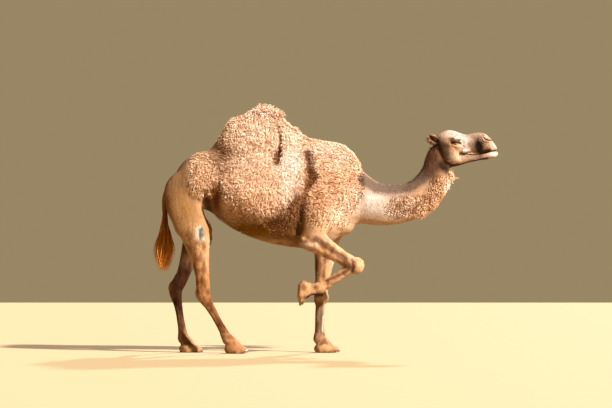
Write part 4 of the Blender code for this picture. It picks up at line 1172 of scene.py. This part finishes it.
# %% [markdown]
# ## Short hair
#
# Between the patches of wool the hair is a centimetre or two long and nearly flat. Its colour and relief
# are in the skin's material already. Small flat tufts over it break the outline and the light on every
# side. They get smaller towards the face and the feet, as the real hairs do, and are longer and rougher
# under the belly and along the nape.

# %% Short hair
HAIR_SPACING = 0.0107
HAIR_LENGTH, HAIR_WIDTH = 0.021, 0.0046
HAIR_LIFT, HAIR_CURL, HAIR_SWIRL, HAIR_STRAY = 0.055, 0.05, 0.16, 0.10
RAGGED_LIFT, RAGGED_EXTRA = 0.30, 0.9
FACE_SHARE = 0.62
BELLY = [(-0.86, 1.09), (-0.60, 1.00), (-0.36, 0.955), (-0.14, 0.93)]
NAPE = [(0.875, 1.68), (0.845, 1.58), (0.79, 1.47), (0.70, 1.42)]

hairy = ramp(beside_eye(face_middles), 0.024, 0.034)
hairy *= 1 - 0.7 * ramp(face_middles[:, 0], 1.30, 1.38)
for slit in (MOUTH, NOSTRIL):
    hairy *= 1 - stroke(face_middles, slit, 0.006) * (face_middles[:, 0] > 1.1)
hairy *= face_middles[:, 2] >= 0.012
smooth_share = (1 - woolly(face_middles)) ** 1.5 * hairy
fine = np.maximum(ramp(face_middles[:, 0], 0.88, 1.0), ramp(face_middles[:, 2], 0.14, 0.06))
hair_roots, hair_normals = roots_where(smooth_share * (1 + 1.4 * fine), HAIR_SPACING)
small = np.maximum(ramp(hair_roots[:, 0], 0.88, 1.0), ramp(hair_roots[:, 2], 0.20, 0.05))
hair_lies = lie_of(hair_roots, hair_normals)
stray = HAIR_STRAY * chance.normal(size=hair_roots.shape)
hair_lies = unit(hair_lies + HAIR_SWIRL * drift(hair_roots, 0.04, 41) + stray)
hair_lies = unit(flattened(hair_lies, hair_normals))
hair_shade = (1 + 0.10 * chance.normal(size=len(hair_roots)))[:, None]
hair_colours = coat_colour_and_light(hair_roots) * LIT_SHARE * hair_shade
hair_length = HAIR_LENGTH * (0.7 + 0.6 * chance.random(len(hair_roots))) * (1 - FACE_SHARE * small)
hair_width = HAIR_WIDTH * (1 - 0.5 * small)
ragged = stroke(hair_roots, BELLY, 0.06) * ramp(hair_normals[:, 2], -0.4, -0.8)
mane = stroke(hair_roots, NAPE, 0.04) * ramp(np.abs(hair_roots[:, 1]), 0.05, 0.02)
ragged = np.maximum(ragged, 0.8 * mane)
hair_length *= 1 + RAGGED_EXTRA * ragged
hair_lift = HAIR_LIFT + RAGGED_LIFT * ragged
HAIR_PIECES = {
    "head_hair": hair_roots[:, 0] > 0.93,
    "neck_hair": (hair_roots[:, 0] > 0.24) & (hair_roots[:, 0] <= 0.93) & (hair_roots[:, 2] > 1.02),
    "foreleg_hair": (hair_roots[:, 0] > -0.34) & (hair_roots[:, 2] < 0.96),
    "hindleg_hair": (hair_roots[:, 0] <= -0.34) & (hair_roots[:, 2] < 0.96),
}
HAIR_PIECES["trunk_hair"] = ~np.any(list(HAIR_PIECES.values()), axis=0)

for name, mine in HAIR_PIECES.items():
    grow(name, hair_roots[mine], hair_normals[mine], hair_lies[mine], hair_length[mine], hair_width[mine],
         hair_lift[mine], HAIR_CURL, hair_colours[mine], 1.10 * hair_colours[mine], rings=2, thin=0.22,
         hook=0.2, blend_in=True)

# %% [markdown]
# ## Longer hair: tail, throat and lashes
#
# The tail ends in a brush of coarse red-brown hair, a fringe hangs along the throat to a pointed beard, and
# dark lashes shade the eyes. They are the same horns as the wool, only longer, thinner and with more rings,
# so that they bend smoothly. The hairs of the brush start all round the dock, bow outwards and close to a
# point.

# %% Tail brush, throat fringe and lashes
DOCK_X, DOCK_TOP, DOCK_END = -1.334, 1.16, 0.985
BRUSH_TIP = 0.635
BRUSH_HAIRS, FRINGE_HAIRS, BEARD_HAIRS, LASHES = 1500, 900, 260, 46
BEARD, BEARD_SPREAD = np.array([1.005, 0.0, 1.468]), np.array([0.014, 0.018, 0.014])
THROAT = [(0.965, 1.425), (0.90, 1.33), (0.83, 1.25), (0.72, 1.175)]
BRUSH_COLOURS = (132, 76, 20), (216, 138, 50)
BEARD_COLOURS = (196, 148, 104), (246, 220, 186)
LASH_COLOURS = (52, 36, 28), (96, 68, 50)


def jittered(vectors, amount):
    return unit(vectors + amount * chance.normal(size=vectors.shape))


def shaded(colour, count, spread):
    """The same colour for each hair, a little lighter or darker from one to the next."""
    return linear(colour)[None] * np.clip(1 + spread * chance.normal(size=(count, 1)), 0.4, 1.8)


def on_skin(points):
    """The nearest places on the skin, and which way it faces there."""
    found = [skin_tree.find_nearest(Vector(point)) for point in points]
    return np.array([hit[0] for hit in found]), np.array([hit[1] for hit in found])


def tail_brush():
    turn = chance.random(BRUSH_HAIRS) * 2 * np.pi
    height = DOCK_END + (DOCK_TOP - DOCK_END) * chance.random(BRUSH_HAIRS) ** 1.6
    outward = np.stack([np.cos(turn), 0.6 * np.sin(turn), np.zeros(BRUSH_HAIRS)], axis=1)
    roots = outward * 0.018 + np.stack([np.full(BRUSH_HAIRS, DOCK_X), 0 * turn, height], axis=1)
    down = jittered(np.tile([-0.02, 0.0, -1.0], (BRUSH_HAIRS, 1)), 0.035)
    normals = unit(flattened(outward, down))
    length = (height - BRUSH_TIP) * (0.40 + 0.58 * chance.random(BRUSH_HAIRS) ** 0.7)
    bow = 0.21 * chance.random(BRUSH_HAIRS) * ramp(height, DOCK_TOP + 0.02, DOCK_END)
    return grow("tail_brush", roots, normals, down, length, 0.0050, bow, 0.03,
                *[shaded(colour, BRUSH_HAIRS, 0.30) for colour in BRUSH_COLOURS], rings=8, thin=0.6,
                hook=1.35, fold=0.02, slot="tail_hair")


def throat_fringe():
    path = np.array(THROAT)
    share = chance.random(FRINGE_HAIRS) * (len(path) - 1)
    first = share.astype(int)
    flat = path[first] + (path[first + 1] - path[first]) * (share - first)[:, None]
    spread = 0.035 * chance.normal(size=FRINGE_HAIRS)
    roots, normals = on_skin(np.stack([flat[:, 0] + 0.05, spread, flat[:, 1] - 0.05], axis=1))
    lies = jittered(lie_of(roots, normals) * 0.6 + np.array([0.10, 0, -0.5]), 0.15)
    colours = coat_colour_and_light(roots)
    length = 0.030 + 0.022 * chance.random(FRINGE_HAIRS)
    return grow("throat_fringe", roots, normals, unit(lies), length, 0.0035, 0.30, 0.05, 0.85 * colours,
                1.35 * colours, rings=4, thin=0.6, hook=0.5)


def beard():
    roots, normals = on_skin(BEARD + BEARD_SPREAD * chance.normal(size=(BEARD_HAIRS, 3)))
    lies = jittered(np.tile([0.85, 0.0, -0.45], (BEARD_HAIRS, 1)), 0.14)
    length = 0.034 + 0.022 * chance.random(BEARD_HAIRS)
    return grow("beard", roots, normals, lies, length, 0.0036, 0.04, 0.05,
                shaded(BEARD_COLOURS[0], BEARD_HAIRS, 0.12), shaded(BEARD_COLOURS[1], BEARD_HAIRS, 0.10),
                rings=4, thin=0.6, hook=0.4)


def lashes():
    made = []
    for side in (-1, 1):
        along, upward, outward = eye_axes(side)
        across = np.linspace(-0.92, 0.92, LASHES)[:, None] * SLIT_HALF
        rim = SLIT_UP * (1 - (across / SLIT_HALF) ** 2)
        depth = np.sqrt((EYE_RADIUS + 0.0025) ** 2 - across**2 - rim**2)
        roots = EYE * (1, side, 1) + across * along + rim * upward + depth * outward
        lies = jittered(outward + 9 * across * along - 0.55 * upward, 0.10)
        made.append((roots, np.tile(upward, (LASHES, 1)), lies))
    roots, normals, lies = (np.concatenate(part) for part in zip(*made))
    count = len(roots)
    return grow("lashes", roots, normals, lies, 0.017 + 0.006 * chance.random(count), 0.0013, 0.18, 0.03,
                *[shaded(colour, count, 0.1) for colour in LASH_COLOURS], rings=4, thin=0.8, hook=0.9)


skin_tree = BVHTree.FromPolygons(skin_points.tolist(), skin_corners.tolist())
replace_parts(tail_brush(), "tail_tuft")
throat_fringe()
beard()
lashes()

# %% [markdown]
# ## Eyes
#
# Each eye is a moist dark ball in its socket. A camel's iris is deep brown with a wide dark pupil that lies
# level. A sphere is added where the solid eye is, its front is drawn out a little into the cornea, and it
# is painted by how far each point is from the line of sight. A glossy coat gives the wet glint.

# %% Eyes
EYE_SEGMENTS, EYE_RINGS = 64, 40
IRIS, PUPIL_LONG, PUPIL_HIGH = 0.0135, 0.0075, 0.0045
EYE_WHITE, IRIS_BROWN, IRIS_EDGE, PUPIL_BLACK = (120, 96, 80), (74, 44, 24), (26, 15, 10), (6, 5, 5)

eye_material, eye_shader = new_material(
    "wet_eye", 0.12, Coat_Weight=1.0, Coat_Roughness=0.03, Coat_IOR=1.38)
eye_tint = add_node(eye_material, "ShaderNodeAttribute", {"attribute_name": "tint"})
eye_material.node_tree.links.new(eye_tint.outputs["Color"], eye_shader.inputs["Base Color"])


def eyeball(name, side):
    bpy.ops.object.select_all(action="DESELECT")
    low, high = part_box(name)
    bpy.ops.mesh.primitive_uv_sphere_add(segments=EYE_SEGMENTS, ring_count=EYE_RINGS, radius=EYE_RADIUS)
    ball = bpy.context.object
    ball.name = ball.data.name = name + "_ball"
    axes = eye_axes(side)
    points = points_of(ball)
    across, up, out = points.T
    reach = np.hypot(across, up)
    out = out + 0.0012 * np.exp(-((reach / 0.010) ** 2)) * (out > 0)
    rays = np.stack([np.arctan2(up, across) * 0.02, reach * 0.3, 0 * up], axis=1)
    streak = 0.25 * wander(rays, 0.0011, 51)
    colour = np.tile(linear(EYE_WHITE), (len(points), 1))
    colour = painted(colour, IRIS_BROWN, ramp(reach, IRIS + 0.0010, IRIS))
    colour = colour * (1 + streak * (reach < IRIS))[:, None]
    colour = painted(colour, IRIS_EDGE, ramp(np.abs(reach - IRIS), 0.0012, 0.0))
    pupil = np.hypot(across / PUPIL_LONG, up / PUPIL_HIGH)
    colour = painted(colour, PUPIL_BLACK, ramp(pupil, 1.10, 0.90))
    paint(ball, np.where((out > 0)[:, None], np.clip(colour, 0, 1), linear(EYE_WHITE)))
    centre = np.array((low + high) / 2)
    move_points(ball, centre + np.stack([across, up, out], axis=1) @ axes)
    if np.linalg.det(axes) < 0:
        ball.data.flip_normals()
    ball.data.materials.append(eye_material)
    ball.data.shade_smooth()
    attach(ball, "root")
    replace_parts(ball, name)
    print(ball.name, "at", [round(float(v), 3) for v in centre])


eyeball("eye_right", -1)
eyeball("eye_left", 1)

# %% [markdown]
# ## Toenails
#
# A camel stands on two soft toes, each with a small worn nail at its front. The solid nail has the right
# place and size but flat facets. A copy of it is rounded by subdivision and swollen by about a millimetre.
# The material is horn: brown to pale, streaked along the nail, with a bump from the same streaks.

# %% Toenails
HORN_DARK, HORN_PALE = (70, 52, 40), (148, 120, 94)
NAIL_SWELL = 0.0012

horn, horn_shader = new_material("horn", 0.42, Specular_IOR_Level=0.4)
horn_streaks = streaks(horn, (1, 1, 0.25), 300.0)
horn_colours = add_node(horn, "ShaderNodeValToRGB", Fac=horn_streaks)
horn_colours.color_ramp.elements[0].position, horn_colours.color_ramp.elements[1].position = 0.3, 0.75
horn_colours.color_ramp.elements[0].color = (*linear(HORN_DARK), 1)
horn_colours.color_ramp.elements[1].color = (*linear(HORN_PALE), 1)
horn_relief = add_node(horn, "ShaderNodeBump", {"Strength": 0.5, "Distance": 0.001}, Height=horn_streaks)
horn.node_tree.links.new(horn_colours.outputs["Color"], horn_shader.inputs["Base Color"])
horn.node_tree.links.new(horn_relief.outputs["Normal"], horn_shader.inputs["Normal"])

for name in [node for node in frame["nodes"] if "_nail_" in node]:
    nail = solid_copy(name)
    nail.name = nail.data.name = name + "_horn"
    modified(nail, "SUBSURF", levels=2, render_levels=2)
    modified(nail, "DISPLACE", strength=NAIL_SWELL, mid_level=0.0)
    nail.data.materials.clear()
    nail.data.materials.append(horn)
    nail.data.shade_smooth()
    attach(nail, "root")
    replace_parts(nail, name)
    print(nail.name, len(nail.data.polygons), "faces")

# %% [markdown]
# ## Floor and light
#
# The floor is plain and pale. The main lamp stands high in front of the animal's right shoulder, so that
# each fold and lock throws a short shadow towards the tail. A weaker one shows the left side, and a warm
# sky fills the shade. Both lamps are suns, which light all of a large animal alike.

# %% Floor, lamp and sky
FLOOR_SIZE = 80
LAMP_TILT_DEG, LAMP_TURN_DEG = 56, 50
LAMP_STRENGTH, LAMP_SOFTNESS_DEG = 11.6, 3
FAR_LAMP_TURN_DEG, FAR_LAMP_STRENGTH = 158, 3.0
SKY_STRENGTH, SKY_COLOUR = 0.32, (1.0, 0.75, 0.40, 1)
WARM = (1.0, 0.97, 0.93)
FLOOR_COLOUR = (168, 144, 106)

only(skin)
bpy.ops.object.select_all(action="DESELECT")
bpy.ops.mesh.primitive_plane_add(size=FLOOR_SIZE)
floor = bpy.context.object
floor.name = "floor"
floor_material, floor_shader = new_material("pale_floor", 0.9)
floor_shader.inputs["Base Color"].default_value = (*linear(FLOOR_COLOUR), 1)
floor.data.materials.append(floor_material)


def sun(name, turn_deg, strength):
    """A distant soft lamp, turned this far round the animal."""
    turn = (math.radians(LAMP_TILT_DEG), 0, math.radians(turn_deg))
    bpy.ops.object.light_add(type="SUN", rotation=turn)
    lamp = bpy.context.object
    lamp.name = name
    lamp.data.energy = strength
    lamp.data.angle = math.radians(LAMP_SOFTNESS_DEG)
    return lamp


sun("lamp", LAMP_TURN_DEG, LAMP_STRENGTH).data.color = WARM
sun("far_lamp", FAR_LAMP_TURN_DEG, FAR_LAMP_STRENGTH)
sky = bpy.data.worlds.new("sky")
bpy.context.scene.world = sky
sky.use_nodes = True
sky.node_tree.nodes["Background"].inputs["Color"].default_value = SKY_COLOUR
sky.node_tree.nodes["Background"].inputs["Strength"].default_value = SKY_STRENGTH
bpy.context.scene.view_settings.view_transform = "Standard"
print("lamp strength", LAMP_STRENGTH, "sky strength", SKY_STRENGTH)
